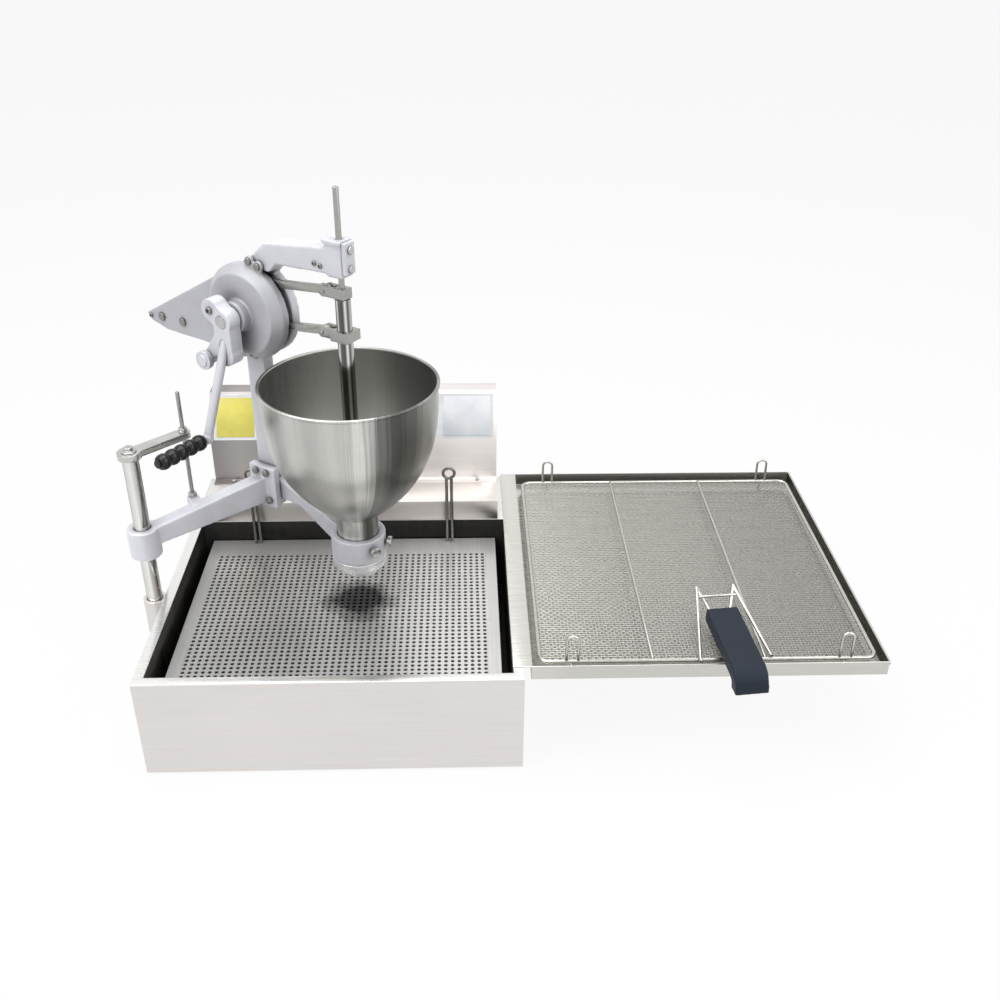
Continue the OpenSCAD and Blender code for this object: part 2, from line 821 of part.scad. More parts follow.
module rear_deck() {
    color(steel) difference() {
        box([-deck_w / 2, tank_y1, rim_z], [deck_w / 2, y_back, deck_z]);
        box([-deck_w / 2 + sheet_t, tank_y1 + sheet_t, rim_z - eps],
            [deck_w / 2 - sheet_t, y_back - sheet_t, deck_z - sheet_t]);
        bar_z(0, (box_y + y_back) / 2, wire_hole_d, deck_z - 2 * sheet_t, deck_z + eps);
        for (x = [-1, 1] * (deck_w / 2 - 2 * flange_d)) {
            bar_z(x, box_y - flange_d / 2, screw_d / 2 + slip_c, deck_z - 2 * sheet_t, deck_z + eps);
        }
    }
}

module control_box() {
    lean = top_panel_run / top_panel_h;
    shift = sheet_t / cos(90 - panel_tilt);
    color(steel) difference() {
        union() {
            along_x(-deck_w / 2, deck_w / 2) polygon([
                [box_y, deck_z], [cover_y, deck_z], [cover_y, panel_z1],
                [panel_y1, panel_z1], [box_y, panel_z0]
            ]);
            box([-deck_w / 2, box_y - flange_d, deck_z], [deck_w / 2, box_y + sheet_t, deck_z + sheet_t]);
        }
        along_x(-deck_w / 2 + sheet_t, deck_w / 2 - sheet_t) polygon([
            [box_y + sheet_t, deck_z - eps],
            [cover_y + eps, deck_z - eps],
            [cover_y + eps, panel_z1 - sheet_t],
            [panel_y1 + shift - sheet_t * lean, panel_z1 - sheet_t],
            [box_y + sheet_t, panel_z0 - (shift - sheet_t) / lean]
        ]);
        on_panel() bar_z(knob_x, panel_len / 2, spindle_d + 2 * free_c, -3 * sheet_t, overlay_t);
        for (i = [0, 1]) {
            on_panel() bar_z(lamp_x - i * lamp_pitch, panel_len / 2, lamp_d, -3 * sheet_t, overlay_t);
        }
        for (x = [-1, 1] * (deck_w / 2 - 2 * flange_d)) {
            bar_z(x, box_y - flange_d / 2, screw_d / 2 + slip_c, deck_z - eps, deck_z + 2 * sheet_t);
        }
    }
}

module box_back_cover() {
    cover_z = (deck_z + panel_z1) / 2;
    color(steel) difference() {
        box([-deck_w / 2, cover_y, deck_z], [deck_w / 2, y_back, panel_z1]);
        bar_y(-deck_w / 4, cover_z, cable_d + 2 * slip_c, cover_y - eps, y_back + eps);
        for (i = vents) {
            box([deck_w / 4 + i * vent_pitch - vent_w / 2, cover_y - eps, cover_z - vent_len / 2],
                [deck_w / 4 + i * vent_pitch + vent_w / 2, y_back + eps, cover_z + vent_len / 2]);
        }
    }
}

module panel_overlay() {
    color([0.93, 0.94, 0.95]) on_panel() difference() {
        box([-deck_w / 2 + overlay_margin, overlay_margin, 0],
            [deck_w / 2 - overlay_margin, panel_len - overlay_margin, overlay_t]);
        bar_z(knob_x, panel_len / 2, spindle_d + 2 * free_c, -eps, overlay_t + eps);
        for (i = [0, 1]) bar_z(lamp_x - i * lamp_pitch, panel_len / 2, lamp_d, -eps, overlay_t + eps);
    }
}

module yellow_plate() {
    color([0.88, 0.83, 0.38]) on_panel() box(
        [-deck_w / 2 + 2 * overlay_margin, 2 * overlay_margin, overlay_t],
        [-deck_w / 2 + 2 * overlay_margin + yellow_w, 2 * overlay_margin + plate_len, 2 * overlay_t]);
}

module pale_plate() {
    color([0.84, 0.90, 0.95]) on_panel() box(
        [deck_w / 2 - 2 * overlay_margin - pale_w, 2 * overlay_margin, overlay_t],
        [deck_w / 2 - 2 * overlay_margin, 2 * overlay_margin + plate_len, 2 * overlay_t]);
}

module thermostat_knob() {
    color(dark) on_panel() translate([knob_x, panel_len / 2, 0]) {
        bar_z(0, 0, knob_d, overlay_t + free_c, overlay_t + free_c + knob_h * 0.4);
        bar_z(0, 0, knob_d * 0.7, overlay_t + free_c, overlay_t + knob_h);
        bar_z(0, 0, spindle_d, -3 * sheet_t, overlay_t + knob_h / 2);
        box([-knob_d / 10, 0, overlay_t + knob_h * 0.4], [knob_d / 10, knob_d * 0.46, overlay_t + knob_h]);
    }
}

// Lens with a round head and a body through the panel
module lamp(x) {
    on_panel() {
        bar_z(x, panel_len / 2, lamp_d - 2 * slip_c, -3 * sheet_t, overlay_t);
        bar_z(x, panel_len / 2, lamp_d + head_over, overlay_t, overlay_t + lamp_h / 2);
        bar_z(x, panel_len / 2, lamp_d - 2, overlay_t + lamp_h / 2, overlay_t + lamp_h);
    }
}

module power_lamp() {
    color([0.75, 0.10, 0.08]) lamp(lamp_x);
}

module heat_lamp() {
    color([0.10, 0.55, 0.18]) lamp(lamp_x - lamp_pitch);
}

module box_screws() {
    color(bright) for (x = [-1, 1] * (deck_w / 2 - 2 * flange_d)) {
        bar_z(x, box_y - flange_d / 2, screw_d, deck_z + sheet_t, deck_z + sheet_t + screw_h);
        bar_z(x, box_y - flange_d / 2, screw_d / 2, deck_z - 2 * sheet_t, deck_z + sheet_t);
    }
}

module cable_gland() {
    cover_z = (deck_z + panel_z1) / 2;
    color(dark) difference() {
        union() {
            bar_y(-deck_w / 4, cover_z, cable_d, cover_y - 2 * sheet_t, y_back);
            bar_y(-deck_w / 4, cover_z, cable_d + 2 * head_over, y_back, y_back + head_over);
            bar_y(-deck_w / 4, cover_z, cable_d + head_over / 2, y_back + head_over, y_back + cable_d);
        }
        bar_y(-deck_w / 4, cover_z, cable_d / 2, cover_y - 3 * sheet_t, y_back + cable_d + eps);
    }
}

// Post, top bar and swing arm

module post_socket() {
    color(steel) difference() {
        union() {
            bar_z(post_x, post_y, 2 * socket_r, socket_z, socket_z + socket_h);
            box([post_x, post_y - socket_web / 2, socket_z],
                [-x_right, post_y + socket_web / 2, socket_z + socket_h]);
        }
        bar_z(post_x, post_y, post_d + 2 * run_c, socket_z + socket_floor, socket_z + socket_h + eps);
    }
}

module post() {
    color(bright) {
        bar_z(post_x, post_y, post_d, socket_z + socket_floor, post_top_z);
        bar_z(post_x, post_y, spigot_d, post_top_z, bar_top_z);
    }
}

module top_bar() {
    color(steel) translate([post_x, post_y, post_top_z]) rotate([0, 0, bar_yaw]) difference() {
        linear_extrude(height = bar_t) {
            circle(d = post_d + 2 * bar_wall);
            translate([0, -bar_w / 2]) square([bar_reach, bar_w]);
            translate([bar_reach, 0]) circle(d = bar_w);
        }
        bar_z(0, 0, spigot_d + 2 * slip_c, -eps, bar_t + eps);
        bar_z(bar_reach, 0, lift_d + 2 * free_c, -eps, bar_t + eps);
    }
}

module top_bar_screw() {
    color(bright) {
        bar_z(post_x, post_y, spigot_d + 2 * head_over, bar_top_z, bar_top_z + head_over / 2);
        translate([post_x, post_y, bar_top_z + 2]) cylinder(d = spigot_d, h = bolt_head_h, $fn = 6);
    }
}

module lift_rod() {
    color(bright) bar_z(lift_x, lift_y, lift_d, lug_z - lift_nut_h, bar_top_z + lift_over);
}

// Hexagon nut on the lift rod
module rod_nut(z, fit) {
    difference() {
        translate([lift_x, lift_y, z]) cylinder(d = lift_nut_d, h = lift_nut_h, $fn = 6);
        bar_z(lift_x, lift_y, lift_d + 2 * fit, z - eps, z + lift_nut_h + eps);
    }
}

module lift_nut() {
    color(bright) rod_nut(bar_top_z, run_c);
}

module rod_locknut() {
    color(bright) rod_nut(lug_z + lug_h, slip_c);
}

module swing_arm() {
    color(cast) difference() {
        union() {
            at_arm() {
                bar_z(0, 0, 2 * collar_r, collar_z, collar_z + collar_h);
                along_y(-arm_w / 2, arm_w / 2) polygon([
                    [0, arm_z0], [arm_reach, arm_end_z],
                    [arm_reach, arm_end_z + arm_h1], [0, arm_z0 + arm_h0]
                ]);
                translate([0, 0, lug_z]) linear_extrude(height = lug_h) {
                    translate([lug_along, lug_side]) circle(d = lug_d);
                    translate([lug_along - lug_d / 2, 0]) square([lug_d, lug_side]);
                }
            }
            at_depositor() box([strut_x - flange_lip, -slot_h - arm_flange_t, arm_end_z - flange_lip],
                [strut_x + strut_w + flange_lip, -slot_h, arm_end_z - flange_lip + flange_h]);
        }
        bar_z(post_x, post_y, post_d + 2 * run_c, collar_z - eps, collar_z + collar_h + eps);
        bar_z(lift_x, lift_y, lift_d + 2 * slip_c, lug_z - eps, lug_z + lug_h + eps);
        arm_bolt_holes();
    }
}

// Places of the bolts that join the arm to the casting
module at_arm_bolts() {
    for (p = arm_bolt_places) at_depositor() translate([strut_mid + p[0], -slot_h, p[1]]) children();
}

module arm_bolt_holes() {
    at_arm_bolts() bar_y(0, 0, bolt_d + 2 * slip_c, -arm_flange_t - eps, bolt_grip + eps);
}

module arm_bolts() {
    color(bright) at_arm_bolts() {
        bar_y(0, 0, bolt_d, -arm_flange_t, bolt_grip);
        bar_y(0, 0, bolt_head_d, -arm_flange_t - bolt_head_h, -arm_flange_t);
    }
}

// Depositor casting and its cover

module housing_outline(inset) {
    translate([-drum_x, drum_z]) circle(r = drum_r - inset);
    polygon(moved_in(fin, inset));
}

module lever_pin_bores() {
    for (p = [upper_pivot, lower_pivot]) {
        bar_y(p[0], p[1], pivot_d + 2 * slip_c, front_y, slot_h + rear_t + eps);
    }
}

module main_casting() {
    rear_y = slot_h + rear_t;
    gib_end = [head_x0 + eps, gib_z + gib_h];
    color(cast) difference() {
        at_depositor() difference() {
            union() {
                along_y(slot_h, rear_y) housing_outline(2);
                along_y(-slot_h, slot_h) difference() {
                    housing_outline(0);
                    housing_outline(drum_wall);
                    translate([-drum_x + drum_r * 0.2, drum_z - 2 * drum_r])
                        square([2 * drum_r, 4 * drum_r]);
                }
                at_rim_screws() bar_y(0, 0, screw_lug_d, -slot_h, slot_h);
                along_y(slot_h, rear_y) polygon([
                    [-drum_x - 40, drum_z + 40], [-drum_x + 30, drum_z + 50], gib_low,
                    [head_x0 + eps, gib_z], gib_end, gib_knee, [-drum_x - 25, drum_z + drum_r - 12]
                ]);
                along_y(-slot_h - gib_front, slot_h) polygon([
                    [-drum_x + 2, drum_z + drum_r], [-drum_x + 45, drum_z + drum_r - 6], gib_low,
                    [head_x0 + eps, gib_z], gib_end, gib_knee
                ]);
                box([head_x0, -head_d / 2, head_z], [head_x1, head_d / 2, guide_z]);
                box([head_x0 - 4, -head_d / 2 - 2, guide_z - head_lip], [head_x1, head_d / 2 + 2, guide_z]);
                box([strut_x, -slot_h, strut_z],
                    [strut_x + strut_w, strut_d - slot_h, drum_z - drum_r + drum_wall / 2]);
                box([strut_x, slot_h, drum_z - drum_r - eps],
                    [strut_x + strut_w, strut_d - slot_h, drum_z - drum_r / 2]);
            }
            bar_y(-drum_x, drum_z, 2 * drum_r + 2 * free_c, front_y, -slot_h);
            bar_y(-drum_x, drum_z, shaft_d + 2 * run_c, -slot_h, rear_y + eps);
            bar_z(0, 0, rod_d + 2 * run_c, head_z - eps, guide_z + eps);
            lever_pin_bores();
            at_tab_screws() bar_y(0, 0, pin_d + 2 * slip_c, -slot_h - gib_front - eps, 0);
            at_rim_screws() bar_y(0, 0, pin_d + 2 * slip_c, -slot_h - eps, slot_h);
            for (z = guide_bolt_zs) bar_x(0, z, pin_d + 2 * slip_c, head_x1 - guide_grip, head_x1 + eps);
        }
        arm_bolt_holes();
    }
}

module front_cover() {
    color(cast) at_depositor() difference() {
        union() {
            bar_y(-drum_x, drum_z, 2 * drum_r, front_y + bevel_d, -slot_h);
            translate([-drum_x, front_y + bevel_d, drum_z]) rotate([90, 0, 0])
                cylinder(r1 = drum_r, r2 = drum_r - bevel_r, h = bevel_d);
            bar_y(-drum_x, drum_z, hub_d, hub_y, front_y + bevel_d);
            along_y(-slot_h - fin_t, -slot_h) polygon(fin);
            along_y(-slot_h - gib_front - tab_t, -slot_h - gib_front) for (a = tab_turns) {
                bar_outline([[-drum_x, drum_z] + (tab_r - tab_d) * [cos(a), sin(a)],
                    [-drum_x, drum_z] + tab_r * [cos(a), sin(a)]], tab_d);
            }
            at_rim_screws() bar_y(0, 0, screw_lug_d, -slot_h - front_t / 2, -slot_h);
        }
        difference() {
            bar_y(-drum_x, drum_z, 2 * (drum_r - bevel_r), front_y + bevel_d, -slot_h + eps);
            at_rim_screws() bar_y(0, 0, screw_lug_d, -slot_h - front_t / 2, -slot_h + 2 * eps);
        }
        bar_y(-drum_x, drum_z, shaft_d + 2 * run_c, hub_y - eps, -slot_h);
        lever_pin_bores();
        at_tab_screws() bar_y(0, 0, pin_d + 2 * slip_c, -slot_h - gib_front - tab_t - eps, -slot_h);
        at_rim_screws() {
            bar_y(0, 0, pin_d + 2 * slip_c, front_y - eps, -slot_h + eps);
            bar_y(0, 0, screw_lug_d + 2 * eps, front_y - eps, -slot_h - front_t / 2);
        }
    }
}

// Places of the screws in the cover's tabs
module at_tab_screws() {
    for (a = tab_turns) translate([-drum_x + tab_r * cos(a), 0, drum_z + tab_r * sin(a)]) children();
}

// Places of the screws in the cover's rim
module at_rim_screws() {
    for (a = rim_screw_turns) {
        translate([-drum_x + rim_screw_r * cos(a), 0, drum_z + rim_screw_r * sin(a)]) children();
    }
}

module cover_screws() {
    color(bright) at_depositor() {
        at_tab_screws() {
            bar_y(0, 0, pin_d, -slot_h - gib_front - tab_t, -eps);
            bar_y(0, 0, pin_d + head_over, -slot_h - gib_front - tab_t - screw_h,
                -slot_h - gib_front - tab_t);
        }
        at_rim_screws() {
            bar_y(0, 0, pin_d, -slot_h - front_t / 2, slot_h - eps);
            bar_y(0, 0, pin_d + head_over, -slot_h - front_t / 2 - screw_h, -slot_h - front_t / 2);
        }
    }
}

module guide_cap() {
    color(cast) at_depositor() difference() {
        box([head_x1, -head_d / 2 + 2, head_z + 6], [head_x1 + cap_t, head_d / 2 - 2, guide_z - 2]);
        for (z = guide_bolt_zs) bar_x(0, z, pin_d + 2 * slip_c, head_x1 - eps, head_x1 + cap_t + eps);
    }
}

module guide_bolts() {
    color(bright) at_depositor() for (z = guide_bolt_zs) {
        bar_x(0, z, pin_d, head_x1 - guide_grip, head_x1 + cap_t);
        bar_x(0, z, pin_d + head_over, head_x1 + cap_t, head_x1 + cap_t + screw_h);
    }
}

module lever_pins() {
    color(bright) at_depositor() for (p = [upper_pivot, lower_pivot]) {
        bar_y(p[0], p[1], pivot_d, -slot_h - fin_t, slot_h + rear_t);
        bar_y(p[0], p[1], pivot_d + head_over, -slot_h - fin_t - screw_h, -slot_h - fin_t);
    }
}

// Levers, cams and crank

// Lever with its pivot bore, its long hole and its cam follower
module lever(path, slot, follower_z, bar_z0, y0, y1) {
    pivot = path[0];
    pin = path[len(path) - 1];
    difference() {
        union() {
            along_y(-lever_t / 2, lever_t / 2) {
                bar_outline(path, lever_h);
                translate(pivot) circle(d = lever_eye);
                bar_outline([pin - [slot, 0], pin], lever_eye);
            }
            along_y(y0, y1) bar_outline([[-drum_x, follower_z], [-drum_x, bar_z0]], follower_d);
        }
        bar_y(pivot[0], pivot[1], pivot_d + 2 * run_c, -lever_t, lever_t);
        along_y(-lever_t, lever_t) bar_outline([pin - [slot, 0], pin], pin_d + 2 * free_c);
    }
}

module upper_lever() {
    color(cast) at_depositor() lever(upper_path, upper_slot, upper_follower_z, upper_bar_z,
        -lever_t / 2, -lever_t / 2 + cam_t);
}

module lower_lever() {
    color(cast) at_depositor() lever(lower_path, lower_slot, lower_follower_z, lower_bar_z,
        lever_t / 2 - cam_t, lever_t / 2);
}

// Heart-shaped cam: its radius grows evenly from straight down to straight up
function heart(low, high) = [
    for (a = [-180 : 6 : 174]) (low + (high - low) * abs(a) / 180) * [sin(a), -cos(a)]
];

module cam_shaft() {
    color(bright) at_shaft() {
        bar_y(0, 0, shaft_d, clamp_y0, slot_h + rear_t);
        along_y(-lever_t / 2, -lever_t / 2 + cam_t) polygon(heart(upper_cam_min - cam_clear, upper_cam_max));
        along_y(lever_t / 2 - cam_t, lever_t / 2) polygon(heart(lower_cam_min, lower_cam_max));
    }
}

module crank_clamp() {
    color(cast) at_shaft() difference() {
        along_y(clamp_y0, clamp_y1) {
            circle(r = clamp_r);
            bar_outline([clamp_ear, [0, 0], [0, -clamp_len]], 2 * clamp_r - head_over);
            bar_outline([dose_root, [dose_x, dose_z]], clamp_r);
        }
        bar_y(0, 0, shaft_d + 2 * slip_c, clamp_y0 - eps, clamp_y1 + eps);
        wire(crank_top, crank_tip, crank_d + 2 * slip_c);
        bar_y(dose_x, dose_z, pin_d + 2 * run_c, clamp_y0 - eps, clamp_y1 + eps);
    }
}

module crank_rod() {
    color(bright) at_shaft() {
        wire(crank_top, crank_tip, crank_d);
        translate(crank_tip) sphere(d = crank_knob_d);
        bar_y(crank_tip[0], crank_tip[2], grip_pin_d, grip_y0, crank_tip[1]);
        bar_y(crank_tip[0], crank_tip[2], grip_pin_d + head_over, grip_y0 - screw_h, grip_y0);
    }
}

module crank_grip() {
    color([0.05, 0.05, 0.06]) at_shaft() difference() {
        for (i = [0 : beads - 1]) {
            translate([crank_tip[0], grip_y1 - (i + 0.5) * bead_pitch, crank_tip[2]]) intersection() {
                sphere(d = bead_d);
                bar_y(0, 0, bead_d, -bead_pitch / 2, bead_pitch / 2);
            }
        }
        bar_y(crank_tip[0], crank_tip[2], grip_pin_d + 2 * run_c, grip_y0 - eps, grip_y1 + eps);
    }
}

module dose_knob() {
    color(bright) at_shaft() {
        bar_y(dose_x, dose_z, dose_d, clamp_y0 - free_c - dose_t, clamp_y0 - free_c);
        bar_y(dose_x, dose_z, pin_d, clamp_y0 - free_c - eps, clamp_y1);
        bar_y(dose_x, dose_z, dose_d * 0.6, clamp_y0 - free_c - dose_t - 2, clamp_y0 - free_c - dose_t);
    }
}

// Plunger

// Clamped block with two cheeks round the lever's end
module clevis(pin, w, bore) {
    pin_z = pin[1];
    cheek_reach = bore / 2 + cheek_wall;
    difference() {
        union() {
            box([-cheek_reach, -w / 2, pin_z - clevis_h / 2], [w / 2, w / 2, pin_z + clevis_h / 2]);
            for (s = [-1, 1]) {
                y0 = min(s * cheek_y, s * (cheek_y + cheek_t));
                along_y(y0, y0 + cheek_t) bar_outline([pin, [-cheek_reach, pin_z]], clevis_h);
            }
            bar_y(pin[0], pin_z, pin_d, -cheek_y - cheek_t - 2, cheek_y + cheek_t + 2);
        }
        bar_z(0, 0, bore, pin_z - clevis_h, pin_z + clevis_h);
    }
}

module inner_rod() {
    color(bright) at_depositor() bar_z(0, 0, rod_d, nozzle_z, rod_top_z);
}

module upper_clevis() {
    color(cast) at_depositor() clevis(upper_pin, clevis_w, rod_d + 2 * slip_c);
}

module lower_clevis() {
    color(cast) at_depositor() clevis(lower_pin, lower_clevis_w, tube_d + 2 * slip_c);
}

module forming_disc() {
    color(bright) at_depositor() difference() {
        union() {
            bar_z(0, 0, 2 * piston_r, nozzle_z + 1, nozzle_z + 1 + disc_t);
            translate([0, 0, nozzle_z + 1 + disc_t]) cylinder(r1 = piston_r - 2, r2 = rod_d, h = 2 * disc_t);
        }
        bar_z(0, 0, rod_d + 2 * slip_c, nozzle_z - eps, nozzle_z + 4 * disc_t);
    }
}

module outer_tube() {
    color(bright) at_depositor() difference() {
        bar_z(0, 0, tube_d, piston_z + piston_t, tube_top_z);
        bar_z(0, 0, rod_d + 2 * run_c, piston_z, tube_top_z + eps);
    }
}

module piston() {
    color(bright) at_depositor() difference() {
        bar_z(0, 0, 2 * piston_r, piston_z, piston_z + piston_t);
        bar_z(0, 0, rod_d + 2 * run_c, piston_z - eps, piston_z + piston_t + eps);
    }
}

// Hopper, ring and nozzle

module ring_bracket() {
    web_y0 = -slot_h;
    web_x = strut_x + strut_w;
    color(cast) at_depositor() difference() {
        union() {
            bar_z(0, 0, 2 * ring_r, ring_z, ring_top_z);
            along_y(web_y0, strut_d - 2 * slot_h) polygon([
                [web_x, strut_z + web_up], [-web_knee, strut_z + web_up - 2], [-web_in, ring_z],
                [-web_in, ring_top_z - 2], [-web_top, strut_z + web_up], [web_x, strut_z + web_up + web_h]
            ]);
        }
        bar_z(0, 0, 2 * neck_r + 2 * slip_c, ring_z - ring_r, ring_top_z + ring_r);
        bar_z(0, 0, 2 * nozzle_flange_r + 2 * free_c, ring_z - nozzle_flange_t - eps, ring_z);
        at_thumbs() bar_x(0, 0, thumb_pin + 2 * slip_c, neck_r - eps, ring_r + eps);
    }
}

// Places of the thumb screws round the ring
module at_thumbs() {
    for (a = thumb_turns) rotate([0, 0, a]) translate([0, 0, ring_z + ring_h * 0.6]) children();
}

module ring_screws() {
    color(bright) at_depositor() at_thumbs() {
        bar_x(0, 0, thumb_pin, neck_r + free_c, ring_r + 4);
        bar_x(0, 0, thumb_d, ring_r + 4, ring_r + 4 + thumb_t);
    }
}

function bowl_r(t, r0, r1) = r0 + (r1 - r0) * (1 - pow(t, bowl_full));

module hopper() {
    outside = [
        for (i = [0 : bowl_steps])
            [bowl_r(1 - i / bowl_steps, neck_r, hopper_r), neck_top_z + bowl_h * i / bowl_steps]
    ];
    inside = [
        for (i = [bowl_steps : -1 : 0])
            [bowl_r(1 - i / bowl_steps, neck_bore_r, hopper_r - hopper_wall),
                neck_top_z + bowl_h * i / bowl_steps]
    ];
    color(steel) at_depositor() {
        rotate_extrude() polygon(concat([[neck_bore_r, ring_z], [neck_r, ring_z]], outside, inside));
        rotate_extrude() translate([neck_r - eps, ring_top_z]) square([ring_wall / 2, shoulder_t]);
        translate([0, 0, hopper_top_z]) rotate_extrude() translate([hopper_r, 0]) circle(d = bead_rim_d);
    }
}

module nozzle() {
    color(bright) at_depositor() difference() {
        union() {
            bar_z(0, 0, 2 * nozzle_r, nozzle_z, nozzle_top_z);
            bar_z(0, 0, 2 * nozzle_flange_r, ring_z - nozzle_flange_t, ring_z);
        }
        bar_z(0, 0, 2 * nozzle_bore_r, nozzle_z - eps, nozzle_top_z + eps);
    }
}

// Tray, rack and handle

module drain_tray() {
    color(steel) difference() {
        union() {
            box([tray_x0, tray_y0, tray_z], [tray_x1, tray_y1, tray_top_z]);
            box([tray_x0 - tray_gap - tray_lap, tray_y0, rim_z], [tray_x0 + eps, tray_y1, tray_top_z]);
            box([tray_x1 - eps, tray_y0, tray_top_z - hem_w], [tray_x1 + tray_t, tray_y1, tray_top_z]);
        }
        box([tray_x0 + tray_t, tray_y0 + tray_t, tray_floor_z],
            [tray_x1 - tray_t, tray_y1 - tray_t, tray_top_z + eps]);
    }
}

module tray_brackets() {
    color(steel) for (y = bracket_ys) {
        along_y(y - bracket_t / 2, y + bracket_t / 2) polygon([
            [x_right + bracket_t, tray_z - bracket_t - bracket_drop],
            [x_right + bracket_t, tray_z - bracket_t],
            [x_right + bracket_reach, tray_z - bracket_t]
        ]);
        box([x_right, y - bracket_w / 2, tray_z - bracket_t - bracket_drop],
            [x_right + bracket_t, y + bracket_w / 2, tray_z]);
        box([x_right, y - bracket_w / 2, tray_z - bracket_t],
            [x_right + bracket_reach, y + bracket_w / 2, tray_z]);
    }
}

// Upright hairpin of wire on the rack's front or back wire
module stand_loop(x, y) {
    for (s = [-1, 1]) {
        bar_z(x + s * stand_w / 2, y, stand_wire, rack_z, rack_z + stand_h - stand_w / 2);
    }
    translate([x, y, rack_z + stand_h - stand_w / 2]) rotate([90, 0, 0])
        rotate_extrude(angle = 180) translate([stand_w / 2, 0]) circle(d = stand_wire);
}

// Quarter bend of the frame's wire, turned about z
module frame_bend(x, y, turn) {
    translate([x, y, rack_z]) rotate([0, 0, turn])
        rotate_extrude(angle = 90) translate([frame_corner, 0]) circle(d = frame_wire);
}

module rack_frame() {
    ax = rack_x0 + frame_corner;
    bx = rack_x1 - frame_corner;
    ay = rack_y0 + frame_corner;
    by = rack_y1 - frame_corner;
    color(bright) {
        for (y = [rack_y0, rack_y1]) bar_x(y, rack_z, frame_wire, ax, bx);
        for (x = [rack_x0, rack_x1]) bar_y(x, rack_z, frame_wire, ay, by);
        frame_bend(bx, by, 0);
        frame_bend(ax, by, 90);
        frame_bend(ax, ay, 180);
        frame_bend(bx, ay, 270);
        for (i = [1, 2]) {
            bar_y(rack_x0 + i * (rack_x1 - rack_x0) / 3, rack_z + crossbar_d / 2, crossbar_d,
                rack_y0, rack_y1);
        }
        for (x = [ax + stand_inset, bx - stand_inset], y = [rack_y0, rack_y1]) {
            stand_loop(x, y);
            bar_z(x, y, frame_wire, tray_floor_z, rack_z);
        }
    }
}

module rack_mesh() {
    color(steel) translate([0, 0, mesh_z]) linear_extrude(height = mesh_t) difference() {
        translate([mesh_x0, mesh_y0]) square([mesh_x1 - mesh_x0, mesh_y1 - mesh_y0]);
        for (i = [0 : mesh_cols - 1], j = [0 : mesh_rows - 1]) {
            translate([mesh_x0 + mesh_wire + i * (mesh_gap_x + mesh_wire),
                mesh_y0 + mesh_wire + j * (mesh_gap_y + mesh_wire)]) square([mesh_gap_x, mesh_gap_y]);
        }
        for (x = [mesh_x0, mesh_x1], y = [mesh_y0, mesh_y1]) {
            translate([x, y]) rotate(45) square(frame_corner, center = true);
        }
    }
}

// The handle hangs a little askew on the rack's front wire
module at_handle() {
    translate([handle_x, rack_y0, 0]) rotate([0, 0, handle_turn])
        translate([-handle_x, -rack_y0, 0]) children();
}

module handle_grip() {
    knee_r = grip_t + grip_knee;
    knee_y = grip_front_y - grip_t + knee_r;
    knee_z = handle_z - grip_knee - knee_r;
    bend = [for (a = [100 : 16 : 180]) [knee_y + knee_r * cos(a), knee_z + knee_r * sin(a)]];
    inner = [for (a = [180 : -16 : 100]) [knee_y + grip_knee * cos(a), knee_z + grip_knee * sin(a)]];
    color([0.17, 0.19, 0.27]) at_handle() difference() {
        along_x(handle_x - grip_w / 2, handle_x + grip_w / 2) polygon(concat(
            [[handle_y1, handle_z]], bend, [[grip_front_y - grip_t, grip_end_z], [grip_front_y, grip_end_z]],
            inner, [[handle_y1, handle_z - grip_t]]
        ));
        for (s = [-1, 1]) {
            bar_y(handle_x + s * stirrup_in, handle_z - grip_t / 2, handle_wire + 2 * slip_c,
                handle_y1 - wire_hold, handle_y1 + eps);
        }
    }
}

module handle_wires() {
    color(bright) at_handle() {
        for (s = [-1, 1]) {
            bent_wire([
                [handle_x + s * stirrup_in, handle_y1 - wire_hold, handle_z - grip_t / 2],
                [handle_x + s * stirrup_in, handle_y1 + wire_out, handle_z - grip_t / 2],
                [handle_x + s * stirrup_x, apex_y, apex_z],
                [handle_x + s * (stirrup_x + foot_splay), rack_y0, rest_z],
                [handle_x + s * (stirrup_x + foot_splay), rack_y0 - hook_len, rest_z]
            ], handle_wire);
        }
        wire([handle_x - stirrup_x, apex_y - brace_run, apex_z - brace_drop],
            [handle_x + stirrup_x, apex_y - brace_run, apex_z - brace_drop], handle_wire - 1);
    }
}

casing_shell();
base_plate();
top_rim();
oil_tank();
feet();
heater_elements();
heater_glands();
thermostat_bulb();
perforated_plate();
plate_legs();
plate_loops();
rear_deck();
control_box();
box_back_cover();
panel_overlay();
yellow_plate();
pale_plate();
thermostat_knob();
power_lamp();
heat_lamp();
box_screws();
cable_gland();
post_socket();
post();
top_bar();
top_bar_screw();
lift_rod();
lift_nut();
rod_locknut();
swing_arm();
arm_bolts();
main_casting();
front_cover();
cover_screws();
guide_cap();
guide_bolts();
lever_pins();
upper_lever();
lower_lever();
cam_shaft();
crank_clamp();
crank_rod();
crank_grip();
dose_knob();
inner_rod();
upper_clevis();
forming_disc();
outer_tube();
lower_clevis();
piston();
ring_bracket();
ring_screws();
hopper();
nozzle();
drain_tray();
tray_brackets();
rack_frame();
rack_mesh();
handle_grip();
handle_wires();
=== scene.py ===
"""Looks of a counter-top donut fryer with a hand-cranked batter depositor and a draining tray.

Each sub-assembly is a class that dresses its CAD nodes with bevelled or cast skins and models the pieces
that need finer shapes: the perforated plate, the woven mesh, the hopper, the beads and the fasteners.
"""

import json
import logging
import math
from dataclasses import dataclass
from enum import Enum
from typing import Callable, Optional, Sequence, Union

import bpy
from mathutils import Matrix, Vector


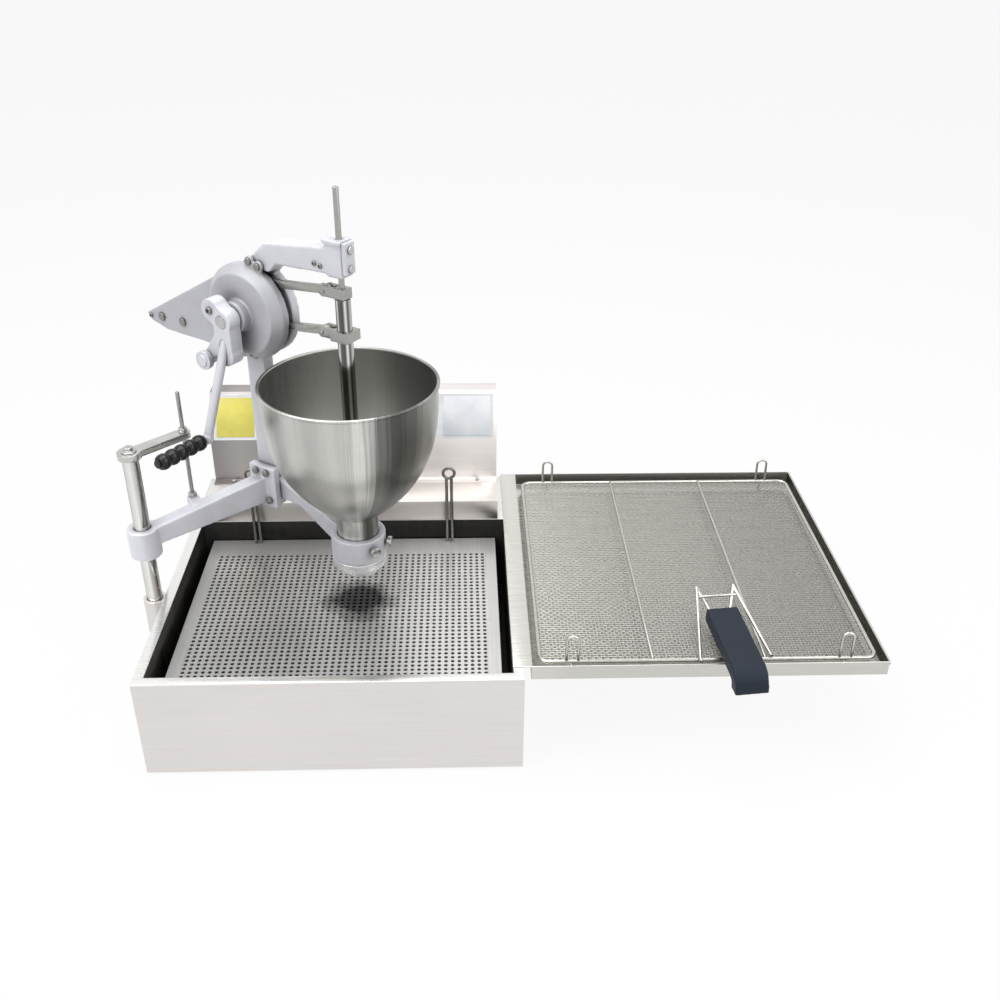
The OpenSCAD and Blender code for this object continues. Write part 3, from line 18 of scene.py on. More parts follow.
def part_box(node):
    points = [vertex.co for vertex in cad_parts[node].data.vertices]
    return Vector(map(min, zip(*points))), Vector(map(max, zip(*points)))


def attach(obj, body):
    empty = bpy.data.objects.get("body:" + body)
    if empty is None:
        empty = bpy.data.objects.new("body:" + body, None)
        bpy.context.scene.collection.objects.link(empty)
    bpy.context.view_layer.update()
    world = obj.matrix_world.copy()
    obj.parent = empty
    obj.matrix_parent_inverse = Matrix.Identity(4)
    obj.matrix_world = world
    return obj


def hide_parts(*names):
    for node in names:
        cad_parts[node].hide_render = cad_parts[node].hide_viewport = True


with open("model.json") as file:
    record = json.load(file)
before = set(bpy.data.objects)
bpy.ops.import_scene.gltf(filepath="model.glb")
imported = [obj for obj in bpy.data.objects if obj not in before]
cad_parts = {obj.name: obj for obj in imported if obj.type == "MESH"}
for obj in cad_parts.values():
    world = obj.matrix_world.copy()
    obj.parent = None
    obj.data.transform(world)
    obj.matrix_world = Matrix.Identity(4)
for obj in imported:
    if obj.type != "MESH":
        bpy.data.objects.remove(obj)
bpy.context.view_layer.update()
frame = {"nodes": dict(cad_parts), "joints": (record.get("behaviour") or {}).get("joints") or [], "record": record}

LOG = logging.getLogger("donut_fryer")
MM = 0.001
RECORD = frame["record"]
NODE_BODY = {node: body for body, nodes in RECORD["behaviour"]["bodies"].items() for node in nodes}
DEPOSITOR_YAW = math.radians(34)
# angle round an upright axis that faces the front, from which the painted reflection bands are placed
FRONT_FACING = -83.5
NOISE_LOW, NOISE_HIGH = 0.3, 0.7
MIX_COLOURS, MIX_RESULT = (6, 7), 2
COPY_MERGE = 0.00002
COPY_FLAT = math.radians(0.6)
ROW_MERGE = 0.00004
NEAR = 0.0001
POLE = 0.00005
POLE_MERGE = 2.2 * POLE
BEVEL_ANGLE = math.radians(40)
SHEET_SMOOTH, SOFT_SMOOTH = 38.0, 60.0

Point = tuple[float, float, float]
Colour = tuple[float, float, float]
Span = tuple[float, float]
Pairs = Sequence[Span]
Material = bpy.types.Material
Object = bpy.types.Object
Face = bpy.types.MeshPolygon
Socket = bpy.types.NodeSocket
Value = Union[Socket, float]
EVEN: Point = (1.0, 1.0, 1.0)


class Grain(Enum):
    """Direction of a sheet's brushing, as the texture's stretch along x, y and z."""

    ALONG_X = (3.0, 260.0, 260.0)
    ALONG_Y = (260.0, 3.0, 260.0)


class NodeBuilder:
    """Small builder for one node tree."""

    def __init__(self, owner: Union[Material, bpy.types.World]) -> None:
        """Starts with an empty tree.

        Args:
            owner: the material or the world that has the tree.
        """
        owner.use_nodes = True
        self.tree = owner.node_tree
        self.tree.nodes.clear()

    def node(self, kind: str, **values: object) -> bpy.types.Node:
        """Adds a node.

        Args:
            kind: the node's type, without the start that all types share.
            values: input names with underscores for spaces, and their values or sockets.

        Returns:
            The node.
        """
        node = self.tree.nodes.new(f"ShaderNode{kind}")
        self.fill(node, **values)
        return node

    def fill(self, node: bpy.types.Node, **values: object) -> None:
        """Sets or links a node's inputs, named with underscores for spaces."""
        for name, value in values.items():
            self.link(value, node.inputs[name.replace("_", " ")])

    def link(self, source: Value, target: Socket) -> None:
        """Joins two sockets, or sets one to a value.

        Args:
            source: a socket or a value.
            target: the socket that takes it.
        """
        if isinstance(source, Socket):
            self.tree.links.new(source, target)
        else:
            target.default_value = source

    def math(self, operation: str, a: Socket, b: Value = 0.0) -> Socket:
        """One sum on values.

        Args:
            operation: the sum's name.
            a: first value.
            b: second value.

        Returns:
            The result.
        """
        node = self.node("Math")
        node.operation = operation
        self.link(a, node.inputs[0])
        self.link(b, node.inputs[1])
        return node.outputs["Value"]

    def blend(self, share: Socket, first: Socket, second: Socket) -> Socket:
        """Two shaders mixed.

        Args:
            share: part of the second shader.
            first: shader at share 0.
            second: shader at share 1.

        Returns:
            The mixed shader.
        """
        node = self.node("MixShader")
        for source, target in zip((share, first, second), node.inputs):
            self.link(source, target)
        return node.outputs["Shader"]


class Shader(NodeBuilder):
    """Small builder for one procedural material."""

    def __init__(self, name: str) -> None:
        """Starts an empty material with a principled surface.

        Args:
            name: the material's name.
        """
        self.material = bpy.data.materials.new(name)
        super().__init__(self.material)
        self.surface = self.node("BsdfPrincipled")
        self.node("OutputMaterial", Surface=self.surface.outputs["BSDF"])

    def coords(self, stretch: Point = EVEN, origin: Point = (0.0, 0.0, 0.0)) -> Socket:
        """Object coordinates, moved so that origin is the middle and then stretched.

        Args:
            stretch: scale along x, y and z.
            origin: point of the object that becomes the pattern's middle.

        Returns:
            The vector socket.
        """
        texture = self.node("TexCoord").outputs["Object"]
        place = [-o * s for o, s in zip(origin, stretch)]
        return self.node("Mapping", Vector=texture, Scale=stretch, Location=place).outputs["Vector"]

    def split(self, vector: Socket) -> bpy.types.NodeOutputs:
        """The x, y and z of a vector, by name."""
        return self.node("SeparateXYZ", Vector=vector).outputs

    def noise(self, vector: Socket, scale: float, detail: float = 3.0) -> Socket:
        """Grey noise on a vector, with its features for each unit and its octaves."""
        return self.node("TexNoise", Vector=vector, Scale=scale, Detail=detail).outputs["Fac"]

    def span(self, value: Socket, low: float, high: float) -> Socket:
        """A noise's grey value, stretched from its middle range to low and high."""
        ends = dict(From_Min=NOISE_LOW, From_Max=NOISE_HIGH, To_Min=low, To_Max=high)
        return self.node("MapRange", Value=value, **ends).outputs["Result"]

    def ramp(self, value: Socket, stops: Sequence[tuple[float, Colour]], way: str = "EASE") -> Socket:
        """A colour ramp.

        Args:
            value: place on the ramp from 0 to 1.
            stops: place and colour of each stop, in order.
            way: how the ramp goes from one stop to the next.

        Returns:
            The colour socket.
        """
        node = self.node("ValToRGB", Fac=value)
        node.color_ramp.interpolation = way
        elements = node.color_ramp.elements
        while len(elements) < len(stops):
            elements.new(0.5)
        for element, (place, colour) in zip(elements, stops):
            element.position = place
            element.color = (*colour, 1.0)
        return node.outputs["Color"]

    def tint(self, value: Socket, dark: Colour, light: Colour) -> Socket:
        """A colour between dark and light over a noise's middle range."""
        return self.ramp(value, ((NOISE_LOW, dark), (NOISE_HIGH, light)), "LINEAR")

    def greys(self, value: Socket, stops: Pairs, tone: Colour = EVEN) -> Socket:
        """A smooth ramp of greys, tinted with a tone."""
        return self.ramp(value, [(place, scaled(tone, grey)) for place, grey in sorted(stops)])

    def mix(self, base: Socket, top: Socket, share: Value, way: str = "MIX") -> Socket:
        """Two colours mixed by a share.

        Args:
            base: colour at share 0.
            top: colour at share 1.
            share: grey value from 0 to 1.
            way: name of the way that they are mixed.

        Returns:
            The mixed colour.
        """
        node = self.node("Mix")
        node.data_type = "RGBA"
        node.blend_type = way
        self.link(share, node.inputs[0])
        for source, index in zip((base, top), MIX_COLOURS):
            self.link(source, node.inputs[index])
        return node.outputs[MIX_RESULT]

    def multiply(self, a: Socket, b: Socket) -> Socket:
        """Two colours multiplied."""
        return self.mix(a, b, 1.0, "MULTIPLY")

    def swept(self, skin: Socket, sweep: Optional["Sweep"]) -> Socket:
        """A colour whose brightness changes slowly along one axis, as painted light and shade.

        Args:
            skin: the colour.
            sweep: axis, ends and stops of the change, or none.

        Returns:
            The colour socket.
        """
        if sweep is None:
            return skin
        place = self.split(self.coords())[sweep.axis]
        share = self.node("MapRange", Value=place, From_Min=sweep.start, From_Max=sweep.end)
        return self.multiply(skin, self.greys(share.outputs["Result"], sweep.stops))

    def dress(self, colour: Socket, rough: Socket, relief: Socket, strength: float, depth: float,
              **values: float) -> None:
        """Links the surface's colour, roughness and small relief.

        Args:
            colour: the colour.
            rough: the roughness.
            relief: height of the relief from 0 to 1.
            strength: how much of the relief shows.
            depth: depth of the relief in metres.
            values: other inputs, with underscores for spaces, and their numbers.
        """
        normal = self.node("Bump", Height=relief, Strength=strength, Distance=depth).outputs["Normal"]
        self.fill(self.surface, Base_Color=colour, Roughness=rough, Normal=normal, **values)


def scaled(colour: Colour, factor: float) -> Colour:
    """A colour made darker or lighter."""
    return tuple(min(1.0, c * factor) for c in colour)


@dataclass(frozen=True)
class Sweep:
    """Slow change of a finish's brightness along one axis, painted to stand for light and shade that fall unevenly
    across a piece.
    """

    axis: str
    start: float
    end: float
    stops: Pairs


@dataclass(frozen=True)
class Finish:
    """A procedural finish with its main colour."""

    name: str
    colour: Colour

    def material(self) -> Material:
        """Builds the finish.

        Returns:
            The material.
        """
        shader = Shader(self.name)
        self.paint(shader)
        return shader.material

    def paint(self, shader: Shader) -> None:
        """Links the pattern of this kind of finish.

        Args:
            shader: the builder of the material.
        """
        raise NotImplementedError

    def shades(self, dark: float, light: float) -> tuple[Colour, Colour]:
        """A darker and a lighter shade of the main colour."""
        return scaled(self.colour, dark), scaled(self.colour, light)


@dataclass(frozen=True)
class BrushedSheet(Finish):
    """Stainless sheet with fine brushing, faint handling marks and, where given, painted shade."""

    rough: Span = (0.3, 0.4)
    contrast: float = 0.035
    sweep: Optional[Sweep] = None
    shade_patch: Optional[Point] = None
    metal: float = 1.0
    grain: Grain = Grain.ALONG_X

    def paint(self, shader: Shader) -> None:
        """Links strokes along the grain, worn clouds and a painted shade patch.

        Args:
            shader: the builder of the material.
        """
        strokes = shader.noise(shader.coords(self.grain.value), 3.0, 4.0)
        clouds = shader.noise(shader.coords(), 7.0, 4.0)
        fine = shader.tint(strokes, *self.shades(1 - self.contrast, 1 + self.contrast))
        worn = shader.tint(strokes, *self.shades(0.95 - self.contrast, 1.0))
        skin = shader.mix(fine, worn, shader.span(clouds, 0.0, 0.7))
        skin = shader.swept(skin, self.sweep)
        # painted shade: a dark patch on the plate under the nozzle
        if self.shade_patch is not None:
            skin = shader.multiply(skin, self.nozzle_shade(shader))
        shader.dress(skin, shader.span(strokes, *self.rough), strokes, 0.08, 0.00025, Metallic=self.metal)

    def nozzle_shade(self, shader: Shader) -> Socket:
        """A soft painted shade patch round one point, where the nozzle darkens the plate.

        Args:
            shader: the builder of the material.

        Returns:
            The grey of the painted shade that darkens the sheet.
        """
        x, y, radius = self.shade_patch
        length = shader.node("VectorMath")
        length.operation = "LENGTH"
        shader.link(shader.coords((1 / radius, 1.05 / radius, 0.0), (x, y, 0.0)), length.inputs[0])
        edge = shader.noise(shader.coords(), 34.0)
        reach = shader.math("ADD", length.outputs["Value"], shader.span(edge, -0.12, 0.12))
        return shader.greys(reach, ((0.0, 0.03), (0.42, 0.07), (0.68, 0.5), (0.95, 1.0)))


@dataclass(frozen=True)
class ReflectionBandedSteel(Finish):
    """Round bright steel: painted reflection bands that run down the wall, as a dim room would show in it, and
    hair lines.
    """

    centre: Span
    facing: float
    bands: Pairs
    rough: Span = (0.2, 0.3)
    waver: float = 0.006
    sweep: Optional[Sweep] = None

    def stops(self) -> list[Span]:
        """Places of the painted reflection bands on the ramp of the full turn.

        Returns:
            Share of the turn and grey of each band, closed at both ends.
        """
        turned = sorted((((self.facing + angle + 180) % 360) / 360, grey) for angle, grey in self.bands)
        (first, low), (last, high) = turned[0], turned[-1]
        seam = low + (high - low) * first / (first + 1 - last)
        return [(0.0, seam), *turned, (1.0, seam)]

    def paint(self, shader: Shader) -> None:
        """Links the painted reflection bands round the axis, with hair lines and faint rings.

        Args:
            shader: the builder of the material.
        """
        place = shader.split(shader.coords(EVEN, (*self.centre, 0.0)))
        angle = shader.math("ARCTAN2", place["Y"], place["X"])
        wall = shader.node("CombineXYZ", X=shader.math("SINE", angle), Y=shader.math("COSINE", angle),
                           Z=shader.math("MULTIPLY", place["Z"], 0.12))
        hairs = shader.noise(wall.outputs["Vector"], 46.0, 4.0)
        clouds = shader.noise(shader.coords(), 18.0, 4.0)
        rings = shader.noise(shader.coords((2.0, 2.0, 420.0)), 1.0, 2.0)
        turn = shader.math("ADD", shader.math("MULTIPLY", angle, 1 / math.tau), 0.5)
        waved = shader.math("ADD", turn, shader.span(hairs, -self.waver, self.waver))
        # painted reflection: bright and dark bands fixed round the axis
        bands = shader.greys(waved, self.stops(), self.colour)
        skin = shader.multiply(bands, shader.tint(clouds, (0.92, 0.92, 0.92), EVEN))
        skin = shader.swept(skin, self.sweep)
        relief = shader.math("ADD", hairs, rings)
        shader.dress(skin, shader.span(hairs, *self.rough), relief, 0.05, 0.0002, Metallic=1.0)


@dataclass(frozen=True)
class CastPaint(Finish):
    """Light grey sprayed casting with sand texture and painted shade in its hollows."""

    def paint(self, shader: Shader) -> None:
        """Links clean paint with sand and dents, and painted shade in the hollows from ambient occlusion.

        Args:
            shader: the builder of the material.
        """
        sand = shader.noise(shader.coords(), 620.0)
        clouds = shader.noise(shader.coords(), 26.0, 5.0)
        dents = shader.noise(shader.coords(), 110.0, 2.0)
        # painted shade: ambient occlusion darkens the paint in hollows and between parts
        occlusion = shader.node("AmbientOcclusion", Distance=0.03)
        occlusion.samples = 6
        clean = shader.tint(clouds, *self.shades(0.92, 1.05))
        hollow_shade = shader.tint(dents, *self.shades(0.06, 0.16))
        skin = shader.mix(hollow_shade, clean, shader.math("POWER", occlusion.outputs["AO"], 0.8))
        relief = shader.math("ADD", sand, dents)
        shader.dress(skin, shader.span(clouds, 0.38, 0.55), relief, 0.22, 0.0006,
                     Metallic=0.25, Specular_IOR_Level=0.45)


@dataclass(frozen=True)
class DarkOilFilmAndShade(Finish):
    """Dark tank wall with a baked oil film; the same finish also serves as the painted shade in the depositor's
    slot.
    """

    burnt: Colour = (0.030, 0.022, 0.016)

    def paint(self, shader: Shader) -> None:
        """Links the film and its brown runs.

        Args:
            shader: the builder of the material.
        """
        film = shader.noise(shader.coords((1.0, 1.0, 0.35)), 16.0, 5.0)
        runs = shader.noise(shader.coords((90.0, 90.0, 5.0)), 1.0)
        dark = shader.tint(film, *self.shades(0.55, 1.4))
        brown = shader.tint(runs, scaled(self.colour, 0.7), self.burnt)
        skin = shader.mix(dark, brown, shader.span(runs, 0.0, 0.5))
        shader.dress(skin, shader.span(film, 0.24, 0.5), film, 0.15, 0.0006,
                     Metallic=0.0, Specular_IOR_Level=0.3)


@dataclass(frozen=True)
class TurnedSteel(Finish):
    """Bright drawn or turned steel with fine lines across its length."""

    rough: Span = (0.12, 0.24)
    lines: Point = (30.0, 30.0, 900.0)
    sweep: Optional[Sweep] = None
    metal: float = 1.0

    def paint(self, shader: Shader) -> None:
        """Links the lines and dull marks over them.

        Args:
            shader: the builder of the material.
        """
        lines = shader.noise(shader.coords(self.lines), 1.0)
        marks = shader.noise(shader.coords(), 45.0, 4.0)
        bright = shader.tint(lines, *self.shades(0.86, 1.06))
        dull = shader.tint(marks, *self.shades(0.6, 0.9))
        skin = shader.mix(bright, dull, shader.span(marks, 0.0, 0.45))
        skin = shader.swept(skin, self.sweep)
        shader.dress(skin, shader.span(marks, *self.rough), lines, 0.06, 0.0002, Metallic=self.metal)


@dataclass(frozen=True)
class Moulded(Finish):
    """Moulded plastic, lacquer or rubber with a fine grain."""

    rough: Span = (0.4, 0.55)
    grain: float = 900.0
    coat: float = 0.0
    shine: float = 0.5

    def paint(self, shader: Shader) -> None:
        """Links a clouded colour and the grain.

        Args:
            shader: the builder of the material.
        """
        grain = shader.noise(shader.coords(), self.grain, 2.0)
        clouds = shader.noise(shader.coords(), 22.0, 4.0)
        skin = shader.tint(clouds, *self.shades(0.86, 1.1))
        shader.dress(skin, shader.span(clouds, *self.rough), grain, 0.18, 0.0003, Metallic=0.0,
                     Coat_Weight=self.coat, Coat_Roughness=0.08, Specular_IOR_Level=self.shine)


@dataclass(frozen=True)
class Finishes:
    """All finishes of the machine, built once."""

    sheet_x: Material
    sheet_y: Material
    sheet_z: Material
    rim: Material
    ledge: Material
    plate: Material
    tray: Material
    tray_wall_shade: Material
    mesh: Material
    bowl: Material
    bowl_inside_shade: Material
    cast: Material
    arm: Material
    cover: Material
    slot: Material
    tank: Material
    post: Material
    tube: Material
    rod: Material
    nozzle: Material
    lever: Material
    screw: Material
    dark_steel: Material
    wire: Material
    loop: Material
    brass: Material
    element: Material
    rubber: Material
    black: Material
    beads: Material
    navy: Material
    panel: Material
    yellow: Material
    pale: Material
    red: Material
    green: Material

    @staticmethod
    def make() -> "Finishes":
        """Builds every finish.

        Returns:
            The set of materials.
        """
        hopper, post = upright_axis("hopper"), upright_axis("post")
        warm = (0.73, 0.70, 0.68)
        bowl_tone = (1.0, 1.0, 0.95)
        mesh_grain, turned, drawn = ((n, n, n) for n in (220.0, 300.0, 160.0))
        lens = ((0.1, 0.18), 200.0, 0.8)
        # painted shade: the control box darker towards its left
        dim_left = Sweep("X", -0.24, 0.24, ((0.0, 0.3), (0.12, 0.45), (0.45, 0.8), (0.75, 1.0)))
        # painted light and shade: the plate brighter towards its right
        plate_sweep = Sweep("X", -0.23, 0.23, ((0.0, 0.62), (0.3, 0.58), (0.55, 0.7), (0.8, 1.0)))
        # painted shade: the tray darker towards its right
        tray_sweep = Sweep("X", 0.25, 0.33, ((0.0, 1.0), (0.5, 0.86), (1.0, 0.8)))
        # painted shade: the mesh darker towards its right
        mesh_sweep = Sweep("X", 0.28, 0.75, ((0.0, 1.0), (0.3, 0.8), (1.0, 0.6)))
        # painted shade: the hopper darker towards its rim
        bowl_sweep = Sweep("Z", 0.27, 0.40, ((0.0, 1.0), (0.45, 1.0), (1.0, 0.78)))
        # painted shade: middle and radius of the dark patch under the nozzle on the plate
        nozzle_shade_spot = (hopper[0] - 0.004, hopper[1] - 0.008, 0.066)
        made = dict(
            sheet_x=BrushedSheet("casing_brushed", warm),
            sheet_y=BrushedSheet("side_brushed", warm, grain=Grain.ALONG_Y),
            sheet_z=BrushedSheet("box_brushed", (0.88, 0.84, 0.82), (0.34, 0.46), sweep=dim_left),
            rim=BrushedSheet("rim_brushed", (0.86, 0.85, 0.83), (0.22, 0.32)),
            ledge=BrushedSheet("ledge_brushed", (0.82, 0.78, 0.75)),
            plate=BrushedSheet("plate_brushed", (0.72, 0.71, 0.69), (0.28, 0.38), 0.07, plate_sweep, nozzle_shade_spot,
                               0.45, Grain.ALONG_Y),
            tray=BrushedSheet("tray_brushed", (0.74, 0.73, 0.69), (0.22, 0.34), 0.05, tray_sweep),
            # painted shade: dark copy of the tray's finish for the inside of its back and right walls
            tray_wall_shade=BrushedSheet("tray_wall_shade", (0.17, 0.165, 0.155), (0.24, 0.36), 0.05),
            mesh=TurnedSteel("woven_wire", (0.62, 0.61, 0.57), (0.42, 0.55), mesh_grain, mesh_sweep),
            # painted reflection: bands on the outside of the hopper
            bowl=ReflectionBandedSteel("bowl_outside", bowl_tone, hopper, FRONT_FACING, (
                (-180, 0.5), (-150, 0.36), (-120, 0.6), (-90, 0.42), (-68, 0.78), (-50, 0.6), (-40, 0.76),
                (-26, 0.62), (-12, 0.76), (-4, 0.66), (3, 0.95), (10, 0.6), (17, 0.22), (28, 0.12), (40, 0.2),
                (54, 0.5), (66, 0.42), (80, 0.56), (95, 0.3), (125, 0.6), (150, 0.4),
            ), (0.28, 0.38), 0.009, bowl_sweep),
            # painted shade: darker bands for the inside of the hopper
            bowl_inside_shade=ReflectionBandedSteel("bowl_inside_shade", bowl_tone, hopper, FRONT_FACING, (
                (-150, 0.44), (-110, 0.36), (-80, 0.4), (-30, 0.5), (30, 0.5), (80, 0.36), (110, 0.26),
                (140, 0.3), (165, 0.5), (-170, 0.56),
            ), (0.34, 0.46)),
            cast=CastPaint("cast_paint", (0.72, 0.72, 0.765)),
            # painted light: a lighter copy of the casting paint for the swing arm
            arm=CastPaint("arm_paint_lit", (0.83, 0.83, 0.88)),
            # painted shade: a darker copy of the casting paint for the front cover
            cover=CastPaint("cover_paint_shaded", (0.53, 0.53, 0.56)),
            # painted shade: the dark finish in the slot between the housing's halves
            slot=DarkOilFilmAndShade("slot_painted_shade", (0.03, 0.03, 0.029)),
            tank=DarkOilFilmAndShade("tank_dark", (0.010, 0.0095, 0.009)),
            # painted reflection: bands on the post
            post=ReflectionBandedSteel("post_steel", (1.0, 1.0, 0.96), post, FRONT_FACING + 12, (
                (-85, 0.3), (-50, 0.72), (-15, 0.85), (8, 0.6), (32, 0.26), (62, 0.5), (88, 0.3),
                (120, 0.6), (180, 0.4), (-120, 0.6),
            ), (0.12, 0.2), 0.008),
            # painted reflection: bands on the tube
            tube=ReflectionBandedSteel("tube_steel", bowl_tone, hopper, FRONT_FACING, (
                (-85, 0.12), (-52, 0.7), (-36, 0.14), (-8, 0.1), (12, 0.8), (28, 0.12), (58, 0.55), (88, 0.1),
                (130, 0.6), (180, 0.4), (-130, 0.6),
            ), (0.1, 0.18)),
            rod=TurnedSteel("drawn_rod", (0.60, 0.60, 0.57)),
            nozzle=TurnedSteel("nozzle_bright", (0.97, 0.97, 0.98), (0.22, 0.32), metal=0.5),
            lever=TurnedSteel("lever_steel", (0.40, 0.40, 0.38), (0.22, 0.36)),
            screw=TurnedSteel("screw_steel", (0.56, 0.56, 0.55), (0.18, 0.32), turned),
            dark_steel=TurnedSteel("dark_steel", (0.30, 0.30, 0.28), (0.26, 0.4), turned),
            wire=TurnedSteel("wire_steel", (0.62, 0.61, 0.57), (0.16, 0.28), drawn),
            # painted reflection: a dark base colour for the loops, for the dark surroundings that the chrome shows
            loop=TurnedSteel("loop_steel_painted_dark", (0.26, 0.25, 0.24), (0.16, 0.3), drawn),
            brass=TurnedSteel("gland_brass", (0.60, 0.45, 0.20), (0.2, 0.34)),
            element=TurnedSteel("element_sheath", (0.16, 0.15, 0.14), (0.34, 0.5)),
            rubber=Moulded("foot_rubber", (0.03, 0.03, 0.03), (0.6, 0.75), 700.0),
            black=Moulded("black_plastic", (0.02, 0.02, 0.022), (0.32, 0.46)),
            beads=Moulded("black_beads", (0.006, 0.006, 0.007), (0.18, 0.28), 300.0, 0.1, 0.35),
            navy=Moulded("navy_grip", (0.013, 0.019, 0.032), (0.42, 0.58), 1100.0, 0.0, 0.25),
            panel=Moulded("panel_skin", (0.84, 0.86, 0.88), (0.34, 0.48), 500.0),
            yellow=Moulded("yellow_plate", (0.80, 0.72, 0.15), (0.36, 0.5), 500.0),
            pale=Moulded("pale_plate", (0.90, 0.94, 0.99), (0.36, 0.5), 500.0),
            red=Moulded("red_lens", (0.45, 0.02, 0.02), *lens),
            green=Moulded("green_lens", (0.02, 0.28, 0.06), *lens),
        )
        return Finishes(**{key: finish.material() for key, finish in made.items()})


def upright_axis(node: str) -> Span:
    """Middle of a node's box, seen from above."""
    low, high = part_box(node)
    return (low.x + high.x) / 2, (low.y + high.y) / 2


def deselect() -> None:
    """Leaves edit mode and deselects every object."""
    if bpy.context.object is not None and bpy.context.object.mode != "OBJECT":
        bpy.ops.object.mode_set(mode="OBJECT")
    bpy.ops.object.select_all(action="DESELECT")


def activate(obj: Object) -> None:
    """Selects one object alone and makes it the active one.

    Args:
        obj: the object.
    """
    deselect()
    obj.select_set(True)
    bpy.context.view_layer.objects.active = obj


def edit(obj: Object, select: str = "SELECT") -> None:
    """Opens an object in edit mode with all or none of it selected.

    Args:
        obj: the object.
        select: SELECT for all of it, DESELECT for none.
    """
    activate(obj)
    bpy.ops.object.mode_set(mode="EDIT")
    bpy.ops.mesh.select_all(action=select)


def close() -> None:
    """Goes back to object mode."""
    bpy.ops.object.mode_set(mode="OBJECT")


def add_object(name: str, data: bpy.types.ID) -> Object:
    """Adds an object to the scene.

    Args:
        name: the object's name.
        data: its mesh, camera or light.

    Returns:
        The object.
    """
    obj = bpy.data.objects.new(name, data)
    bpy.context.scene.collection.objects.link(obj)
    return obj


def settle(obj: Object, place: Matrix) -> None:
    """Puts an object in place and moves that place into its mesh.

    Args:
        obj: the object.
        place: where it goes.
    """
    obj.matrix_world = place @ obj.matrix_world
    activate(obj)
    bpy.ops.object.transform_apply(location=True, rotation=True, scale=True)


def modify(obj: Object, kind: str, **settings: object) -> None:
    """Adds a modifier to an object, sets it and applies it.

    Args:
        obj: the object.
        kind: the modifier's type.
        settings: its settings, by name.
    """
    modifier = obj.modifiers.new(kind, kind)
    for name, value in settings.items():
        setattr(modifier, name, value)
    activate(obj)
    bpy.ops.object.modifier_apply(modifier=modifier.name)


def tidy_mesh(obj: Object, merge: float = 0.00001) -> None:
    """Merges doubles and turns the faces outwards.

    Args:
        obj: the object.
        merge: distance up to which vertices are merged.
    """
    edit(obj)
    bpy.ops.mesh.remove_doubles(threshold=merge)
    bpy.ops.mesh.normals_make_consistent(inside=False)
    close()


def smooth(obj: Object, degrees: float = 40.0) -> None:
    """Shades an object smooth up to an angle."""
    activate(obj)
    bpy.ops.object.shade_smooth_by_angle(angle=math.radians(degrees))


def finish_piece(obj: Object, node: str, material: Material, replaces: bool = True) -> Object:
    """Gives a piece its material and a CAD node's body, and hides that node when it replaces it.

    Args:
        obj: the piece, in place.
        node: the CAD node that it stands for, or is a detail of.
        material: its finish.
        replaces: whether it replaces that node.

    Returns:
        The piece.
    """
    obj.data.materials.clear()
    obj.data.materials.append(material)
    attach(obj, NODE_BODY[node])
    if replaces:
        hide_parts(node)
    LOG.info("%s on %s: %d faces", obj.name, NODE_BODY[node], len(obj.data.polygons))
    return obj


def repaint(obj: Object, material: Material, test: Callable[[Face], bool]) -> None:
    """Gives some faces of a piece a second finish.

    Args:
        obj: the piece.
        material: the second finish.
        test: says of a face whether it takes that finish.
    """
    obj.data.materials.append(material)
    for face in obj.data.polygons:
        if test(face):
            face.material_index = 1


def join(pieces: Sequence[Object], name: str) -> Object:
    """Joins objects into the first of them.

    Args:
        pieces: the objects.
        name: the joined object's name.

    Returns:
        The joined object.
    """
    deselect()
    for piece in pieces:
        piece.select_set(True)
    bpy.context.view_layer.objects.active = pieces[0]
    bpy.ops.object.join()
    pieces[0].name = name
    return pieces[0]


def extrude(move: Sequence[float]) -> None:
    """Extrudes what is selected in edit mode."""
    bpy.ops.mesh.extrude_region_move(TRANSFORM_OT_translate={"value": move})


def node_copy(node: str) -> Object:
    """Copies a CAD node's mesh into a new merged object.

    Args:
        node: the CAD node.

    Returns:
        The new object.
    """
    mesh = frame["nodes"][node].data.copy()
    obj = add_object(f"{node}_skin", mesh)
    edit(obj)
    bpy.ops.mesh.remove_doubles(threshold=COPY_MERGE)
    bpy.ops.mesh.dissolve_limited(angle_limit=COPY_FLAT)
    close()
    return obj


def sheet_skin(node: str, material: Material, bevel: float = 0.8, segments: int = 2) -> Object:
    """Dresses a machined or folded node in a copy with rounded edges.

    Args:
        node: the CAD node.
        material: its finish.
        bevel: radius of the edges in millimetres.
        segments: steps across an edge.

    Returns:
        The new piece.
    """
    obj = node_copy(node)
    modify(obj, "BEVEL", width=bevel * MM, segments=segments, limit_method="ANGLE", angle_limit=BEVEL_ANGLE)
    smooth(obj, SHEET_SMOOTH)
    return finish_piece(obj, node, material)


def cast_skin(node: str, material: Material, voxel: float = 1.6, rounds: int = 6) -> Object:
    """Dresses a node in a cast skin with soft edges.

    Args:
        node: the CAD node.
        material: its finish.
        voxel: size of the mesh's faces in millimetres.
        rounds: passes of rounding.

    Returns:
        The new piece.
    """
    obj = node_copy(node)
    modify(obj, "REMESH", mode="VOXEL", voxel_size=voxel * MM)
    modify(obj, "SMOOTH", factor=0.5, iterations=rounds)
    smooth(obj, SOFT_SMOOTH)
    return finish_piece(obj, node, material)


def circle(name: str, sides: int, radius: float, **place: Point) -> Object:
    """Adds a ring of edges.

    Args:
        name: the object's name.
        sides: number of edges.
        radius: the ring's radius.
        place: its location and rotation, if any.

    Returns:
        The ring, with its place moved into its mesh.
    """
    deselect()
    bpy.ops.mesh.primitive_circle_add(vertices=sides, radius=radius, **place)
    obj = bpy.context.object
    obj.name = name
    bpy.ops.object.transform_apply()
    return obj


def aimed(axis: Sequence[float]) -> Matrix:
    """Turn that takes z to an axis."""
    return Vector(axis).to_track_quat("Z", "Y").to_matrix().to_4x4()


